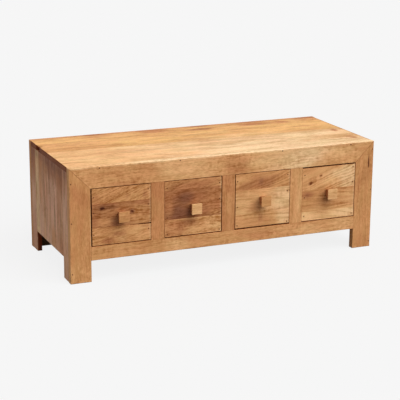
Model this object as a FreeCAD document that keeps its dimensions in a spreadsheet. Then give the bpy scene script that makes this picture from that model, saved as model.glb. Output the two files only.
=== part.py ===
import FreeCAD, Part
import os
import Sketcher

# A coffee table with a row of inset drawers along each long side, in millimetres.
# It stands on z = 0, its length runs along x, and its front looks towards -y.
# The back is the front turned half round about z, so the same functions make both.

SIZES = (
    ("table_length", 1200, "side face to side face"),
    ("table_depth", 496, "face of the front frame to face of the back frame"),
    ("table_height", 415, "floor to top"),
    ("top_thickness", 18, "planks of the top"),
    ("side_thickness", 18, "boards of the side panels"),
    ("leg_board_width", 55, "outermost side boards, which run down to the floor"),
    ("frame_thickness", 25, "posts, rails and mullions, front to back"),
    ("frame_width", 76, "posts and top rails, seen from the front"),
    ("mullion_width", 50.5, "uprights between the drawers"),
    ("bottom_rail_height", 50.5, "rail under the drawers"),
    ("floor_clearance", 78, "floor to the bottom rails and to the side panels between their legs"),
    ("arris", 1.5, "chamfer that eases an outside edge"),
    ("rail_tenon_length", 20, "bottom rail into post"),
    ("mullion_tenon_length", 12, "mullion into rail"),
    ("tenon_shoulder", 6, "step beside a tenon, on its narrow sides"),
    ("tenon_gap", 0.1, "glue gap round a tenon"),
    ("nail_diameter", 2.6, "nails that hold a face frame on"),
    ("nail_length", 42, "same nails"),
    ("nail_sink", 0.8, "depth of a nail head under the face"),
    ("nail_gap", 0.05, "room round a nail"),
    ("nail_inset", 6, "nail axis to the outside edge of its post or rail"),
    ("divider_thickness", 12, "board between the two rows of drawers"),
    ("runner_thickness", 20, "runners under the drawers and kickers over them"),
    ("runner_ledge", 20, "reach of a runner or kicker past the edge of an opening"),
    ("guide_height", 18, "strips on the runners that keep a drawer straight"),
    ("drawer_gap", 2.5, "opening to drawer front, all round"),
    ("running_gap", 0.3, "drawer side to runner"),
    ("stop_gap", 0.3, "closed drawer to the divider that stops it"),
    ("front_setback", 0.8, "drawer front behind the face of the frame"),
    ("drawer_front_thickness", 20, "boards of a drawer front"),
    ("drawer_side_thickness", 13, "sides of a drawer box"),
    ("drawer_back_thickness", 12, "back of a drawer box"),
    ("drawer_bottom_thickness", 6, "bottom panel of a drawer"),
    ("drawer_headroom", 8, "height of the opening less height of the drawer box"),
    ("groove_depth", 5, "groove for the bottom panel"),
    ("groove_lift", 8, "lower edge of a drawer side to its groove"),
    ("groove_gap", 0.2, "bottom panel to the walls of its groove"),
    ("knob_face", 40, "square face of a knob"),
    ("knob_base", 24, "square foot of a knob, on the drawer front"),
    ("knob_projection", 33, "drawer front to the face of the knob"),
    ("knob_chamfer", 1.5, "edge of the knob's face"),
    ("knob_tenon_diameter", 12, "round tenon of a knob"),
    ("knob_tenon_length", 14, "same tenon"),
)

BAYS = 4
FACES = (("front", False), ("back", True))
HALF_TURN = 180.0
SAME_PLACE = 1e-4

# Widths of glued boards, as shares of what they fill. The top is listed from its front edge,
# a side panel from its front leg to its back leg, and a drawer front from its lower edge.
TOP_PLANK_SHARES = (0.16, 0.15, 0.21, 0.14, 0.18, 0.16)
SIDE_BOARD_SHARES = (0.22, 0.20, 0.11, 0.21, 0.13, 0.13)
DRAWER_BOARD_SHARES = {
    "front": ((0.31, 0.42, 0.27), (0.31, 0.53, 0.16), (0.25, 0.45, 0.30), (0.17, 0.40, 0.43)),
    "back": ((0.28, 0.46, 0.26), (0.20, 0.45, 0.35), (0.34, 0.47, 0.19), (0.24, 0.38, 0.38)),
}

# Places of the nails, as shares of the length of the rail or the height of the post.
RAIL_NAIL_SHARES = (0.092, 0.342, 0.679, 0.917)
POST_NAIL_SHARES = {"left": (0.087, 0.530, 0.870), "right": (0.053, 0.548, 0.925)}

# A frame tenon takes the middle third of the frame's thickness.
FRAME_TENON_SHARE = 0.333
# Stub tenon of a runner: its reach into the frame, its share of the runner's thickness, and on
# the runners at the ends of the case the part of the ledge that stays free at each side of it.
STUB_REACH_SHARE = 0.25
STUB_THICKNESS_SHARE = 0.5
STUB_MARGIN_SHARE = 0.25

HALF_LENGTH = "(sizes.table_length / 2)"
HALF_DEPTH = "(sizes.table_depth / 2)"
CASE_DEPTH = "(sizes.table_depth - 2 * sizes.frame_thickness)"
FRAME_FACE = f"(-{HALF_DEPTH})"
FRAME_BACK = f"(-{HALF_DEPTH} + sizes.frame_thickness)"
SILL = "(sizes.floor_clearance + sizes.bottom_rail_height)"
HEAD = "(sizes.table_height - sizes.frame_width)"
OPENING_HEIGHT = f"({HEAD} - {SILL})"
OPENING_WIDTH = (
    f"((sizes.table_length - 2 * sizes.frame_width - {BAYS - 1} * sizes.mullion_width) / {BAYS})"
)
FRAME_TENON = f"({FRAME_TENON_SHARE} * sizes.frame_thickness)"
FRAME_TENON_SETBACK = f"((sizes.frame_thickness - {FRAME_TENON}) / 2)"
STUB_REACH = f"({STUB_REACH_SHARE} * sizes.frame_thickness)"
STUB_THICKNESS = f"({STUB_THICKNESS_SHARE} * sizes.runner_thickness)"
STUB_LIFT = f"((sizes.runner_thickness - {STUB_THICKNESS}) / 2)"
NAIL_HOLE = "(sizes.nail_diameter + 2 * sizes.nail_gap)"
NAIL_BITE = "(sizes.nail_sink + sizes.nail_length + sizes.nail_gap - sizes.frame_thickness)"
FRONT_WIDTH = f"({OPENING_WIDTH} - 2 * sizes.drawer_gap)"
FRONT_HEIGHT = f"({OPENING_HEIGHT} - 2 * sizes.drawer_gap)"
FRONT_LIFT = "(sizes.drawer_gap - sizes.running_gap)"
BOX_HEIGHT = f"({OPENING_HEIGHT} - sizes.drawer_headroom)"
BOX_LENGTH = (
    f"({HALF_DEPTH} - sizes.front_setback - sizes.drawer_front_thickness"
    " - sizes.divider_thickness / 2 - sizes.stop_gap)"
)
GROOVE_HEIGHT = "(sizes.drawer_bottom_thickness + 2 * sizes.groove_gap)"
GROOVE_INSET = "(sizes.drawer_side_thickness - sizes.groove_depth)"
DRAWER_FLOOR = "(sizes.groove_lift + sizes.groove_gap + sizes.drawer_bottom_thickness)"


def opening_left(bay):
    return f"(-{HALF_LENGTH} + sizes.frame_width + {bay} * ({OPENING_WIDTH} + sizes.mullion_width))"


def opening_right(bay):
    return f"({opening_left(bay)} + {OPENING_WIDTH})"


def lane_edges(lane):
    """Left and right edge of the strip of case between two drawers, or past the first or last."""
    left = f"(-{HALF_LENGTH} + sizes.side_thickness)" if lane == 0 else opening_right(lane - 1)
    right = f"({HALF_LENGTH} - sizes.side_thickness)" if lane == BAYS else opening_left(lane)
    return left, right


def runner_edges(lane):
    left, right = lane_edges(lane)
    if lane > 0:
        left = f"({left} - sizes.runner_ledge)"
    if lane < BAYS:
        right = f"({right} + sizes.runner_ledge)"
    return left, right


def stub_edges(lane):
    """Left and right edge of the tenon that holds a runner or kicker in the rails."""
    margin = f"{STUB_MARGIN_SHARE} * sizes.runner_ledge"
    if lane == 0:
        left, right = opening_left(lane), runner_edges(lane)[1]
        return f"({left} + {margin})", f"({right} - {margin})"
    if lane == BAYS:
        left, right = runner_edges(lane)[0], opening_right(lane - 1)
        return f"({left} + {margin})", f"({right} - {margin})"
    return lane_edges(lane)


def make_sheet(document):
    sheet = document.addObject("Spreadsheet::Sheet", "sizes")
    for row, (alias, number, meaning) in enumerate(SIZES, start=1):
        sheet.set(f"A{row}", alias)
        sheet.set(f"B{row}", str(number))
        sheet.setAlias(f"B{row}", alias)
        sheet.set(f"C{row}", meaning)
    document.recompute()
    return sheet


doc = FreeCAD.newDocument("coffee_table")
sizes = make_sheet(doc)


def number(expression):
    return float(sizes.evalExpression(expression))


def place(item, x, y, z, turned):
    """Put a piece at a point of the front half, or at the same point of the back half."""
    sign = "-1" if turned else "1"
    turn = FreeCAD.Rotation(FreeCAD.Vector(0, 0, 1), HALF_TURN if turned else 0)
    item.Placement = FreeCAD.Placement(FreeCAD.Vector(), turn)
    item.setExpression("Placement.Base.x", f"{sign} * ({x})")
    item.setExpression("Placement.Base.y", f"{sign} * ({y})")
    item.setExpression("Placement.Base.z", z)


def new_body(label, x, y, z, turned=False):
    body = doc.addObject("PartDesign::Body", label)
    body.Label = label
    place(body, x, y, z, turned)
    return body


def new_box(label, size, x, y, z, turned=False):
    box = doc.addObject("Part::Box", label)
    box.Label = label
    for side, expression in zip(("Length", "Width", "Height"), size):
        box.setExpression(side, expression)
    place(box, x, y, z, turned)
    return box


def new_sketch(body, role, lift="0"):
    sketch = body.newObject("Sketcher::SketchObject", f"{body.Name}_sketch")
    plane = next(item for item in body.Origin.OriginFeatures if item.Role == role)
    sketch.AttachmentSupport = (plane, [""])
    sketch.MapMode = "FlatFace"
    sketch.setExpression("AttachmentOffset.Base.z", lift)
    return sketch


def pin_point(sketch, line, end, across, up):
    for kind, expression in (("DistanceX", across), ("DistanceY", up)):
        rule = sketch.addConstraint(Sketcher.Constraint(kind, line, end, number(expression)))
        sketch.setExpression(f"Constraints[{rule}]", expression)


def add_outline(sketch, corners):
    """A closed outline of straight lines; each corner is a pair of expressions."""
    points = [FreeCAD.Vector(number(across), number(up), 0) for across, up in corners]
    first = sketch.GeometryCount
    following = [first + (i + 1) % len(points) for i in range(len(points))]
    for i, point in enumerate(points):
        sketch.addGeometry(Part.LineSegment(point, points[following[i] - first]), False)
    for i, (across, up) in enumerate(corners):
        sketch.addConstraint(Sketcher.Constraint("Coincident", first + i, 2, following[i], 1))
        pin_point(sketch, first + i, 1, across, up)


def add_rectangle(sketch, left, low, right, high):
    add_outline(sketch, ((left, low), (right, low), (right, high), (left, high)))


def add_circle(sketch, across, up, diameter):
    centre = FreeCAD.Vector(number(across), number(up), 0)
    circle = Part.Circle(centre, FreeCAD.Vector(0, 0, 1), number(diameter) / 2)
    line = sketch.addGeometry(circle, False)
    pin_point(sketch, line, 3, across, up)
    rule = sketch.addConstraint(Sketcher.Constraint("Diameter", line, number(diameter)))
    sketch.setExpression(f"Constraints[{rule}]", diameter)


def pad(body, sketch, length, backwards=False):
    feature = body.newObject("PartDesign::Pad", f"{body.Name}_pad")
    feature.Profile = sketch
    feature.Reversed = backwards
    feature.setExpression("Length", length)
    return feature


def pocket(body, sketch, depth, backwards=False):
    feature = body.newObject("PartDesign::Pocket", f"{body.Name}_pocket")
    feature.Profile = sketch
    feature.Reversed = backwards
    feature.setExpression("Length", depth)
    return feature


def lies_on(point, planes):
    return all(abs(getattr(point, axis) - number(place)) < SAME_PLACE for axis, place in planes.items())


def ease_edges(body, picks, width):
    """Chamfer each edge whose ends lie on all the planes of one pick, in the body's own frame."""
    doc.recompute()
    base = body.Tip
    names = []
    for index, edge in enumerate(base.Shape.Edges, start=1):
        if any(all(lies_on(vertex.Point, planes) for vertex in edge.Vertexes) for planes in picks):
            names.append(f"Edge{index}")
    chamfer = body.newObject("PartDesign::Chamfer", f"{body.Name}_chamfer")
    chamfer.Base = (base, names)
    chamfer.setExpression("Size", width)


def group(label, pieces):
    compound = doc.addObject("Part::Compound", label)
    compound.Label = label
    compound.Links = pieces
    return compound


def running_shares(shares):
    """Each share with the sum of those before it."""
    start = 0.0
    for share in shares:
        yield start, share
        start += share


def top_plank(label, y, width, turned=False, nailed=False):
    """One lengthwise plank of the top, eased over its two ends."""
    body = new_body(label, f"-{HALF_LENGTH}", y, "sizes.table_height - sizes.top_thickness", turned)
    end = new_sketch(body, "XZ_Plane")
    length, thickness, eased = "sizes.table_length", "sizes.top_thickness", "sizes.arris"
    add_outline(end, (
        ("0", "0"),
        (length, "0"),
        (length, f"{thickness} - {eased}"),
        (f"{length} - {eased}", thickness),
        (eased, thickness),
        ("0", f"{thickness} - {eased}"),
    ))
    pad(body, end, width, backwards=True)
    if nailed:
        holes = new_sketch(body, "XZ_Plane")
        for share in RAIL_NAIL_SHARES:
            add_circle(holes, f"{share} * {length}", f"{thickness} - sizes.nail_inset", NAIL_HOLE)
        pocket(body, holes, NAIL_BITE)
    return body


def top_panel():
    planks = []
    last = len(TOP_PLANK_SHARES) - 1
    for i, (start, share) in enumerate(running_shares(TOP_PLANK_SHARES)):
        width = f"{share} * {CASE_DEPTH}"
        label = f"top_plank_{i + 1}"
        if i == last:
            planks.append(top_plank(label, FRAME_BACK, width, turned=True, nailed=True))
        else:
            y = f"{FRAME_BACK} + {start} * {CASE_DEPTH}"
            planks.append(top_plank(label, y, width, nailed=i == 0))
    return group("top_panel", planks)


def leg_board(face, turned, hand):
    """Outermost board of a side panel, nailed through the post and standing on the floor."""
    x = f"-{HALF_LENGTH}" if hand == "left" else f"{HALF_LENGTH} - sizes.side_thickness"
    body = new_body(f"{face}_{hand}_leg_board", x, FRAME_BACK, "0", turned)
    face_on = new_sketch(body, "XZ_Plane")
    add_rectangle(face_on, "0", "0", "sizes.side_thickness", "sizes.table_height - sizes.top_thickness")
    pad(body, face_on, "sizes.leg_board_width", backwards=True)
    holes = new_sketch(body, "XZ_Plane")
    inset = "sizes.nail_inset" if hand == "left" else "sizes.side_thickness - sizes.nail_inset"
    for share in POST_NAIL_SHARES[hand]:
        add_circle(holes, inset, f"{share} * sizes.table_height", NAIL_HOLE)
    pocket(body, holes, NAIL_BITE)
    return body


def side_boards(hand):
    """Boards of a side panel between its two legs."""
    x = f"-{HALF_LENGTH}" if hand == "left" else f"{HALF_LENGTH} - sizes.side_thickness"
    between_legs = f"({CASE_DEPTH} - 2 * sizes.leg_board_width)"
    height = "sizes.table_height - sizes.top_thickness - sizes.floor_clearance"
    boards = []
    for i, (start, share) in enumerate(running_shares(SIDE_BOARD_SHARES), start=1):
        y = f"{FRAME_BACK} + sizes.leg_board_width + {start} * {between_legs}"
        size = ("sizes.side_thickness", f"{share} * {between_legs}", height)
        boards.append(new_box(f"{hand}_side_board_{i}", size, x, y, "sizes.floor_clearance"))
    return boards


def side_panels():
    legs = {}
    for face, turned in FACES:
        for hand in POST_NAIL_SHARES:
            legs[face, hand] = leg_board(face, turned, hand)
    left = [legs["front", "left"], *side_boards("left"), legs["back", "right"]]
    right = [legs["front", "right"], *side_boards("right"), legs["back", "left"]]
    return [group("left_side_panel", left), group("right_side_panel", right)]


def post(face, turned, hand):
    """Corner post of a face frame, mitred at the top, mortised for the bottom rail."""
    is_left = hand == "left"
    x = f"-{HALF_LENGTH}" if is_left else f"{HALF_LENGTH} - sizes.frame_width"
    body = new_body(f"{face}_{hand}_post", x, FRAME_FACE, "0", turned)
    width, height = "sizes.frame_width", "sizes.table_height"
    face_on = new_sketch(body, "XZ_Plane")
    left_top, right_top = (height, HEAD) if is_left else (HEAD, height)
    add_outline(face_on, (("0", "0"), (width, "0"), (width, right_top), ("0", left_top)))
    pad(body, face_on, "sizes.frame_thickness", backwards=True)
    mortise = new_sketch(body, "YZ_Plane", width if is_left else "0")
    add_rectangle(
        mortise,
        f"{FRAME_TENON_SETBACK} - sizes.tenon_gap",
        "sizes.floor_clearance + sizes.tenon_shoulder - sizes.tenon_gap",
        f"{FRAME_TENON_SETBACK} + {FRAME_TENON} + sizes.tenon_gap",
        f"{SILL} - sizes.tenon_shoulder + sizes.tenon_gap",
    )
    pocket(body, mortise, "sizes.rail_tenon_length + sizes.tenon_gap", backwards=not is_left)
    holes = new_sketch(body, "XZ_Plane")
    inset = "sizes.nail_inset" if is_left else f"{width} - sizes.nail_inset"
    for share in POST_NAIL_SHARES[hand]:
        add_circle(holes, inset, f"{share} * {height}", NAIL_HOLE)
    pocket(body, holes, "sizes.frame_thickness")
    ease_edges(body, [{"x": "0" if is_left else width, "y": "0"}], "sizes.arris")
    return body


def cut_mullion_mortises(body, level, origin, backwards):
    """Mortises for the mullions in a rail; origin is where the rail's own x starts."""
    sketch = new_sketch(body, "XY_Plane", level)
    for lane in range(1, BAYS):
        left, right = lane_edges(lane)
        add_rectangle(
            sketch,
            f"{left} - {origin} + sizes.tenon_shoulder - sizes.tenon_gap",
            f"{FRAME_TENON_SETBACK} - sizes.tenon_gap",
            f"{right} - {origin} - sizes.tenon_shoulder + sizes.tenon_gap",
            f"{FRAME_TENON_SETBACK} + {FRAME_TENON} + sizes.tenon_gap",
        )
    pocket(body, sketch, "sizes.mullion_tenon_length + sizes.tenon_gap", backwards)


def cut_stub_mortises(body, low, origin):
    """Mortises in the inner face of a rail for the stub tenons of the runners or kickers."""
    sketch = new_sketch(body, "XZ_Plane", "-sizes.frame_thickness")
    for lane in range(BAYS + 1):
        left, right = stub_edges(lane)
        add_rectangle(
            sketch,
            f"{left} - {origin} - sizes.tenon_gap",
            f"{low} - sizes.tenon_gap",
            f"{right} - {origin} + sizes.tenon_gap",
            f"{low} + {STUB_THICKNESS} + sizes.tenon_gap",
        )
    pocket(body, sketch, f"{STUB_REACH} + sizes.tenon_gap", backwards=True)


def top_rail(face, turned):
    """Top rail of a face frame, mitred into both posts and nailed to the edge of the top."""
    origin = f"(-{HALF_LENGTH})"
    body = new_body(f"{face}_top_rail", origin, FRAME_FACE, HEAD, turned)
    length, height = "sizes.table_length", "sizes.frame_width"
    face_on = new_sketch(body, "XZ_Plane")
    add_outline(face_on, ((height, "0"), (f"{length} - {height}", "0"), (length, height), ("0", height)))
    pad(body, face_on, "sizes.frame_thickness", backwards=True)
    cut_mullion_mortises(body, "0", origin, backwards=True)
    cut_stub_mortises(body, STUB_LIFT, origin)
    holes = new_sketch(body, "XZ_Plane")
    for share in RAIL_NAIL_SHARES:
        add_circle(holes, f"{share} * {length}", f"{height} - sizes.nail_inset", NAIL_HOLE)
    pocket(body, holes, "sizes.frame_thickness")
    ease_edges(body, [{"y": "0", "z": height}], "sizes.arris")
    return body


def bottom_rail(face, turned):
    """Bottom rail of a face frame, tenoned into both posts."""
    origin = opening_left(0)
    body = new_body(f"{face}_bottom_rail", origin, FRAME_FACE, "sizes.floor_clearance", turned)
    length = "(sizes.table_length - 2 * sizes.frame_width)"
    height = "sizes.bottom_rail_height"
    face_on = new_sketch(body, "XZ_Plane")
    add_rectangle(face_on, "0", "0", length, height)
    pad(body, face_on, "sizes.frame_thickness", backwards=True)
    tenons = new_sketch(body, "XZ_Plane", f"-{FRAME_TENON_SETBACK}")
    reach, shoulder = "sizes.rail_tenon_length", "sizes.tenon_shoulder"
    add_rectangle(tenons, f"-{reach}", shoulder, f"{length} + {reach}", f"{height} - {shoulder}")
    pad(body, tenons, FRAME_TENON, backwards=True)
    cut_mullion_mortises(body, height, origin, backwards=False)
    cut_stub_mortises(body, f"{height} - sizes.runner_thickness + {STUB_LIFT}", origin)
    return body


def mullions(face, turned):
    pieces = []
    width, height = "sizes.mullion_width", OPENING_HEIGHT
    reach, shoulder = "sizes.mullion_tenon_length", "sizes.tenon_shoulder"
    for lane in range(1, BAYS):
        body = new_body(f"{face}_mullion_{lane}", lane_edges(lane)[0], FRAME_FACE, SILL, turned)
        face_on = new_sketch(body, "XZ_Plane")
        add_rectangle(face_on, "0", "0", width, height)
        pad(body, face_on, "sizes.frame_thickness", backwards=True)
        tenons = new_sketch(body, "XZ_Plane", f"-{FRAME_TENON_SETBACK}")
        add_rectangle(tenons, shoulder, f"-{reach}", f"{width} - {shoulder}", f"{height} + {reach}")
        pad(body, tenons, FRAME_TENON, backwards=True)
        pieces.append(body)
    return group(f"{face}_mullions", pieces)


def frame_nails(face, turned):
    """Nails through a face frame into the edges of the top and the sides."""
    length, height, inset = "sizes.table_length", "sizes.table_height", "sizes.nail_inset"
    places = [(f"{share} * {length} - {HALF_LENGTH}", f"{height} - {inset}") for share in RAIL_NAIL_SHARES]
    post_x = {"left": f"{inset} - {HALF_LENGTH}", "right": f"{HALF_LENGTH} - {inset}"}
    for hand, shares in POST_NAIL_SHARES.items():
        places += [(post_x[hand], f"{share} * {height}") for share in shares]
    nails = []
    for i, (x, z) in enumerate(places, start=1):
        body = new_body(f"{face}_nail_{i}", x, f"{FRAME_FACE} + sizes.nail_sink", z, turned)
        shank = new_sketch(body, "XZ_Plane")
        add_circle(shank, "0", "0", "sizes.nail_diameter")
        pad(body, shank, "sizes.nail_length", backwards=True)
        nails.append(body)
    return group(f"{face}_frame_nails", nails)


def rails_across(kind, z):
    """Rails from the front frame to the back frame: runners under the drawers or kickers over them."""
    pieces = []
    for lane in range(BAYS + 1):
        left, right = runner_edges(lane)
        body = new_body(f"{kind}_{lane + 1}", left, FRAME_BACK, z)
        plan = new_sketch(body, "XY_Plane")
        add_rectangle(plan, "0", "0", f"{right} - {left}", CASE_DEPTH)
        pad(body, plan, "sizes.runner_thickness")
        stub_left, stub_right = stub_edges(lane)
        stubs = new_sketch(body, "XY_Plane", STUB_LIFT)
        add_rectangle(
            stubs,
            f"{stub_left} - {left}",
            f"-{STUB_REACH}",
            f"{stub_right} - {left}",
            f"{CASE_DEPTH} + {STUB_REACH}",
        )
        pad(body, stubs, STUB_THICKNESS)
        pieces.append(body)
    return group(f"drawer_{kind}s", pieces)


def drawer_guides():
    """Strips on the runners, flush with the edges of the openings, on both sides of the divider."""
    strips = []
    length = f"{CASE_DEPTH} / 2 - sizes.divider_thickness / 2"
    for face, turned in FACES:
        for lane in range(BAYS + 1):
            left, right = lane_edges(lane)
            size = (f"{right} - {left}", length, "sizes.guide_height")
            strips.append(new_box(f"{face}_guide_{lane + 1}", size, left, FRAME_BACK, SILL, turned))
    return group("drawer_guides", strips)


def centre_divider():
    size = (f"{lane_edges(BAYS)[1]} - {lane_edges(0)[0]}", "sizes.divider_thickness", OPENING_HEIGHT)
    return new_box("centre_divider", size, lane_edges(0)[0], "-sizes.divider_thickness / 2", SILL)


def drawer_corner(bay):
    """Lower left front corner of a closed drawer, at the height where its sides run."""
    x = f"({opening_left(bay)} + sizes.drawer_gap)"
    y = f"({FRAME_FACE} + sizes.front_setback)"
    z = f"({SILL} + sizes.running_gap)"
    return x, y, z


def drawer_front(name, corner, turned, shares):
    """Three glued boards: the middle one takes the knob, the lowest one the bottom panel."""
    x, y, z = corner
    boards = []
    for i, (start, share) in enumerate(running_shares(shares)):
        low = f"{FRONT_LIFT} + {start} * {FRONT_HEIGHT}"
        body = new_body(f"{name}_front_board_{i + 1}", x, y, f"{z} + {low}", turned)
        face_on = new_sketch(body, "XZ_Plane")
        add_rectangle(face_on, "0", "0", FRONT_WIDTH, f"{share} * {FRONT_HEIGHT}")
        pad(body, face_on, "sizes.drawer_front_thickness", backwards=True)
        is_lowest, is_highest = i == 0, i == len(shares) - 1
        if is_lowest:
            groove = new_sketch(body, "XZ_Plane", "-sizes.drawer_front_thickness")
            groove_low = f"sizes.groove_lift - {FRONT_LIFT}"
            right = f"{FRONT_WIDTH} - {GROOVE_INSET}"
            add_rectangle(groove, GROOVE_INSET, groove_low, right, f"{groove_low} + {GROOVE_HEIGHT}")
            pocket(body, groove, "sizes.groove_depth", backwards=True)
        elif not is_highest:
            hole = new_sketch(body, "XZ_Plane")
            middle = f"{FRONT_HEIGHT} / 2 - {start} * {FRONT_HEIGHT}"
            bore = "sizes.knob_tenon_diameter + 2 * sizes.tenon_gap"
            add_circle(hole, f"{FRONT_WIDTH} / 2", middle, bore)
            pocket(body, hole, "sizes.knob_tenon_length + sizes.tenon_gap")
        picks = [{"x": "0", "y": "0"}, {"x": FRONT_WIDTH, "y": "0"}]
        if is_lowest:
            picks.append({"y": "0", "z": "0"})
        elif is_highest:
            picks.append({"y": "0", "z": f"{share} * {FRONT_HEIGHT}"})
        ease_edges(body, picks, "sizes.arris")
        boards.append(body)
    return group(f"{name}_front", boards)


def drawer_sides(name, corner, turned):
    """The two sides of a drawer box, grooved inside for the bottom panel."""
    x, y, z = corner
    sides = []
    thickness = "sizes.drawer_side_thickness"
    for hand in ("left", "right"):
        is_left = hand == "left"
        side_x = x if is_left else f"{x} + {FRONT_WIDTH} - {thickness}"
        body = new_body(f"{name}_{hand}_side", side_x, f"{y} + sizes.drawer_front_thickness", z, turned)
        side_on = new_sketch(body, "YZ_Plane")
        add_rectangle(side_on, "0", "0", BOX_LENGTH, BOX_HEIGHT)
        pad(body, side_on, thickness)
        groove = new_sketch(body, "YZ_Plane", thickness if is_left else "0")
        add_rectangle(groove, "0", "sizes.groove_lift", BOX_LENGTH, f"sizes.groove_lift + {GROOVE_HEIGHT}")
        pocket(body, groove, "sizes.groove_depth", backwards=not is_left)
        sides.append(body)
    return group(f"{name}_sides", sides)


def drawer_back(name, corner, turned):
    """Back of a drawer box: it stands on the bottom panel, between the sides."""
    x, y, z = corner
    size = (
        f"{FRONT_WIDTH} - 2 * sizes.drawer_side_thickness",
        "sizes.drawer_back_thickness",
        f"{BOX_HEIGHT} - {DRAWER_FLOOR}",
    )
    back_y = f"{y} + sizes.drawer_front_thickness + {BOX_LENGTH} - sizes.drawer_back_thickness"
    back_x = f"{x} + sizes.drawer_side_thickness"
    return new_box(f"{name}_back", size, back_x, back_y, f"{z} + {DRAWER_FLOOR}", turned)


def drawer_bottom(name, corner, turned):
    """Bottom panel, slid from behind into the grooves of the sides and the front."""
    x, y, z = corner
    inset = f"({GROOVE_INSET} + sizes.groove_gap)"
    entry = "(sizes.groove_depth - sizes.groove_gap)"
    size = (f"{FRONT_WIDTH} - 2 * {inset}", f"{BOX_LENGTH} + {entry}", "sizes.drawer_bottom_thickness")
    bottom_y = f"{y} + sizes.drawer_front_thickness - {entry}"
    bottom_z = f"{z} + sizes.groove_lift + sizes.groove_gap"
    return new_box(f"{name}_bottom", size, f"{x} + {inset}", bottom_y, bottom_z, turned)


def knob(name, corner, turned):
    """Square knob, undercut towards the drawer front, on a round tenon."""
    x, y, z = corner
    middle = f"{z} + {FRONT_LIFT} + {FRONT_HEIGHT} / 2"
    body = new_body(f"{name}_knob", f"{x} + {FRONT_WIDTH} / 2", y, middle, turned)
    squares = []
    for width, lift in (("sizes.knob_base", "0"), ("sizes.knob_face", "sizes.knob_projection")):
        square = new_sketch(body, "XZ_Plane", lift)
        add_rectangle(square, f"-{width} / 2", f"-{width} / 2", f"{width} / 2", f"{width} / 2")
        squares.append(square)
    loft = body.newObject("PartDesign::AdditiveLoft", f"{body.Name}_loft")
    loft.Profile = squares[0]
    loft.Sections = [squares[1]]
    loft.Ruled = True
    tenon = new_sketch(body, "XZ_Plane")
    add_circle(tenon, "0", "0", "sizes.knob_tenon_diameter")
    pad(body, tenon, "sizes.knob_tenon_length", backwards=True)
    ease_edges(body, [{"y": "-sizes.knob_projection"}], "sizes.knob_chamfer")
    return body


def drawer(face, turned, bay):
    name = f"{face}_drawer_{bay + 1}"
    corner = drawer_corner(bay)
    return [
        drawer_front(name, corner, turned, DRAWER_BOARD_SHARES[face][bay]),
        drawer_sides(name, corner, turned),
        drawer_back(name, corner, turned),
        drawer_bottom(name, corner, turned),
        knob(name, corner, turned),
    ]


def face_frame(face, turned):
    pieces = [post(face, turned, hand) for hand in POST_NAIL_SHARES]
    pieces += [top_rail(face, turned), bottom_rail(face, turned)]
    pieces += [mullions(face, turned), frame_nails(face, turned)]
    return pieces


def table():
    pieces = [top_panel(), *side_panels()]
    for face, turned in FACES:
        pieces += face_frame(face, turned)
    pieces += [
        rails_across("runner", f"{SILL} - sizes.runner_thickness"),
        rails_across("kicker", HEAD),
        drawer_guides(),
        centre_divider(),
    ]
    for face, turned in FACES:
        for bay in range(BAYS):
            pieces += drawer(face, turned, bay)
    return pieces


pieces = table()
doc.recompute()
for item in doc.Objects:
    if "Invalid" in item.State or "Error" in item.State:
        raise RuntimeError(f"{item.Label} did not build: {item.State}")
for piece in pieces:
    if piece.Shape.isNull() or not piece.Shape.isValid() or not piece.Shape.Solids:
        raise RuntimeError(f"{piece.Label} has no valid solid")

os.makedirs("parts", exist_ok=True)
for piece in pieces:
    piece.Shape.exportStep(f"parts/{piece.Label}.step")
print(len(pieces), "pieces written")
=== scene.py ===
import math
import random
from dataclasses import dataclass, replace

import bpy
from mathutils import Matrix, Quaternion, Vector, noise


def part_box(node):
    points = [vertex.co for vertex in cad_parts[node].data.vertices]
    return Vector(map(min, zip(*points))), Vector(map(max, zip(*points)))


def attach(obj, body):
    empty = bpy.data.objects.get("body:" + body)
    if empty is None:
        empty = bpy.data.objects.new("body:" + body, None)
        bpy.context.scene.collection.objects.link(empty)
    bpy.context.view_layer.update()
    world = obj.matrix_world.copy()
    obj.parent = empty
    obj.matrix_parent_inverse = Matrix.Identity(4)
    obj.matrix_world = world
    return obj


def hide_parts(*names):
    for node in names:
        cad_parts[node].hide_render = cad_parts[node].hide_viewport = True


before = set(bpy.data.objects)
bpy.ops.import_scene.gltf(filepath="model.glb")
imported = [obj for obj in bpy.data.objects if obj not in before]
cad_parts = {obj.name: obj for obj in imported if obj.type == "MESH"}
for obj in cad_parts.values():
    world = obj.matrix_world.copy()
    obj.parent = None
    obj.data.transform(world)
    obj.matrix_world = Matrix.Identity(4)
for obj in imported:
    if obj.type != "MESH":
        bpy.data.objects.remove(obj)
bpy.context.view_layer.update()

bl_info = {
    "name": "Coffee table with drawers",
    "version": (1, 0, 0),
    "blender": (4, 5, 0),
    "location": "3D View > Sidebar > Coffee table",
    "description": "Boards, drawer fronts, knobs and nails of a mango-wood coffee table, on its packed model",
    "category": "Add Mesh",
}

UP = Vector((0, 0, 1))
TOWARDS_BACK = Vector((0, 1, 0))
OUTWARDS = {
    "front": Vector((0, -1, 0)),
    "back": Vector((0, 1, 0)),
    "left": Vector((-1, 0, 0)),
    "right": Vector((1, 0, 0)),
    "top": Vector((0, 0, 1)),
}
FACES = ("front", "back")
BAYS = 4
OTHER_HAND = {"left": "right", "right": "left"}
ALL_EDGES = ("left", "right", "low", "high")

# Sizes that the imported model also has, in metres.
LEG_BOARD_WIDTH = 0.055
MULLION_WIDTH = 0.0505
RAIL_TENON = 0.020
MULLION_TENON = 0.012
NAIL_INSET = 0.006
KNOB_BASE = 0.024
KNOB_FACE = 0.040
KNOB_PROJECTION = 0.033

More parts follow.
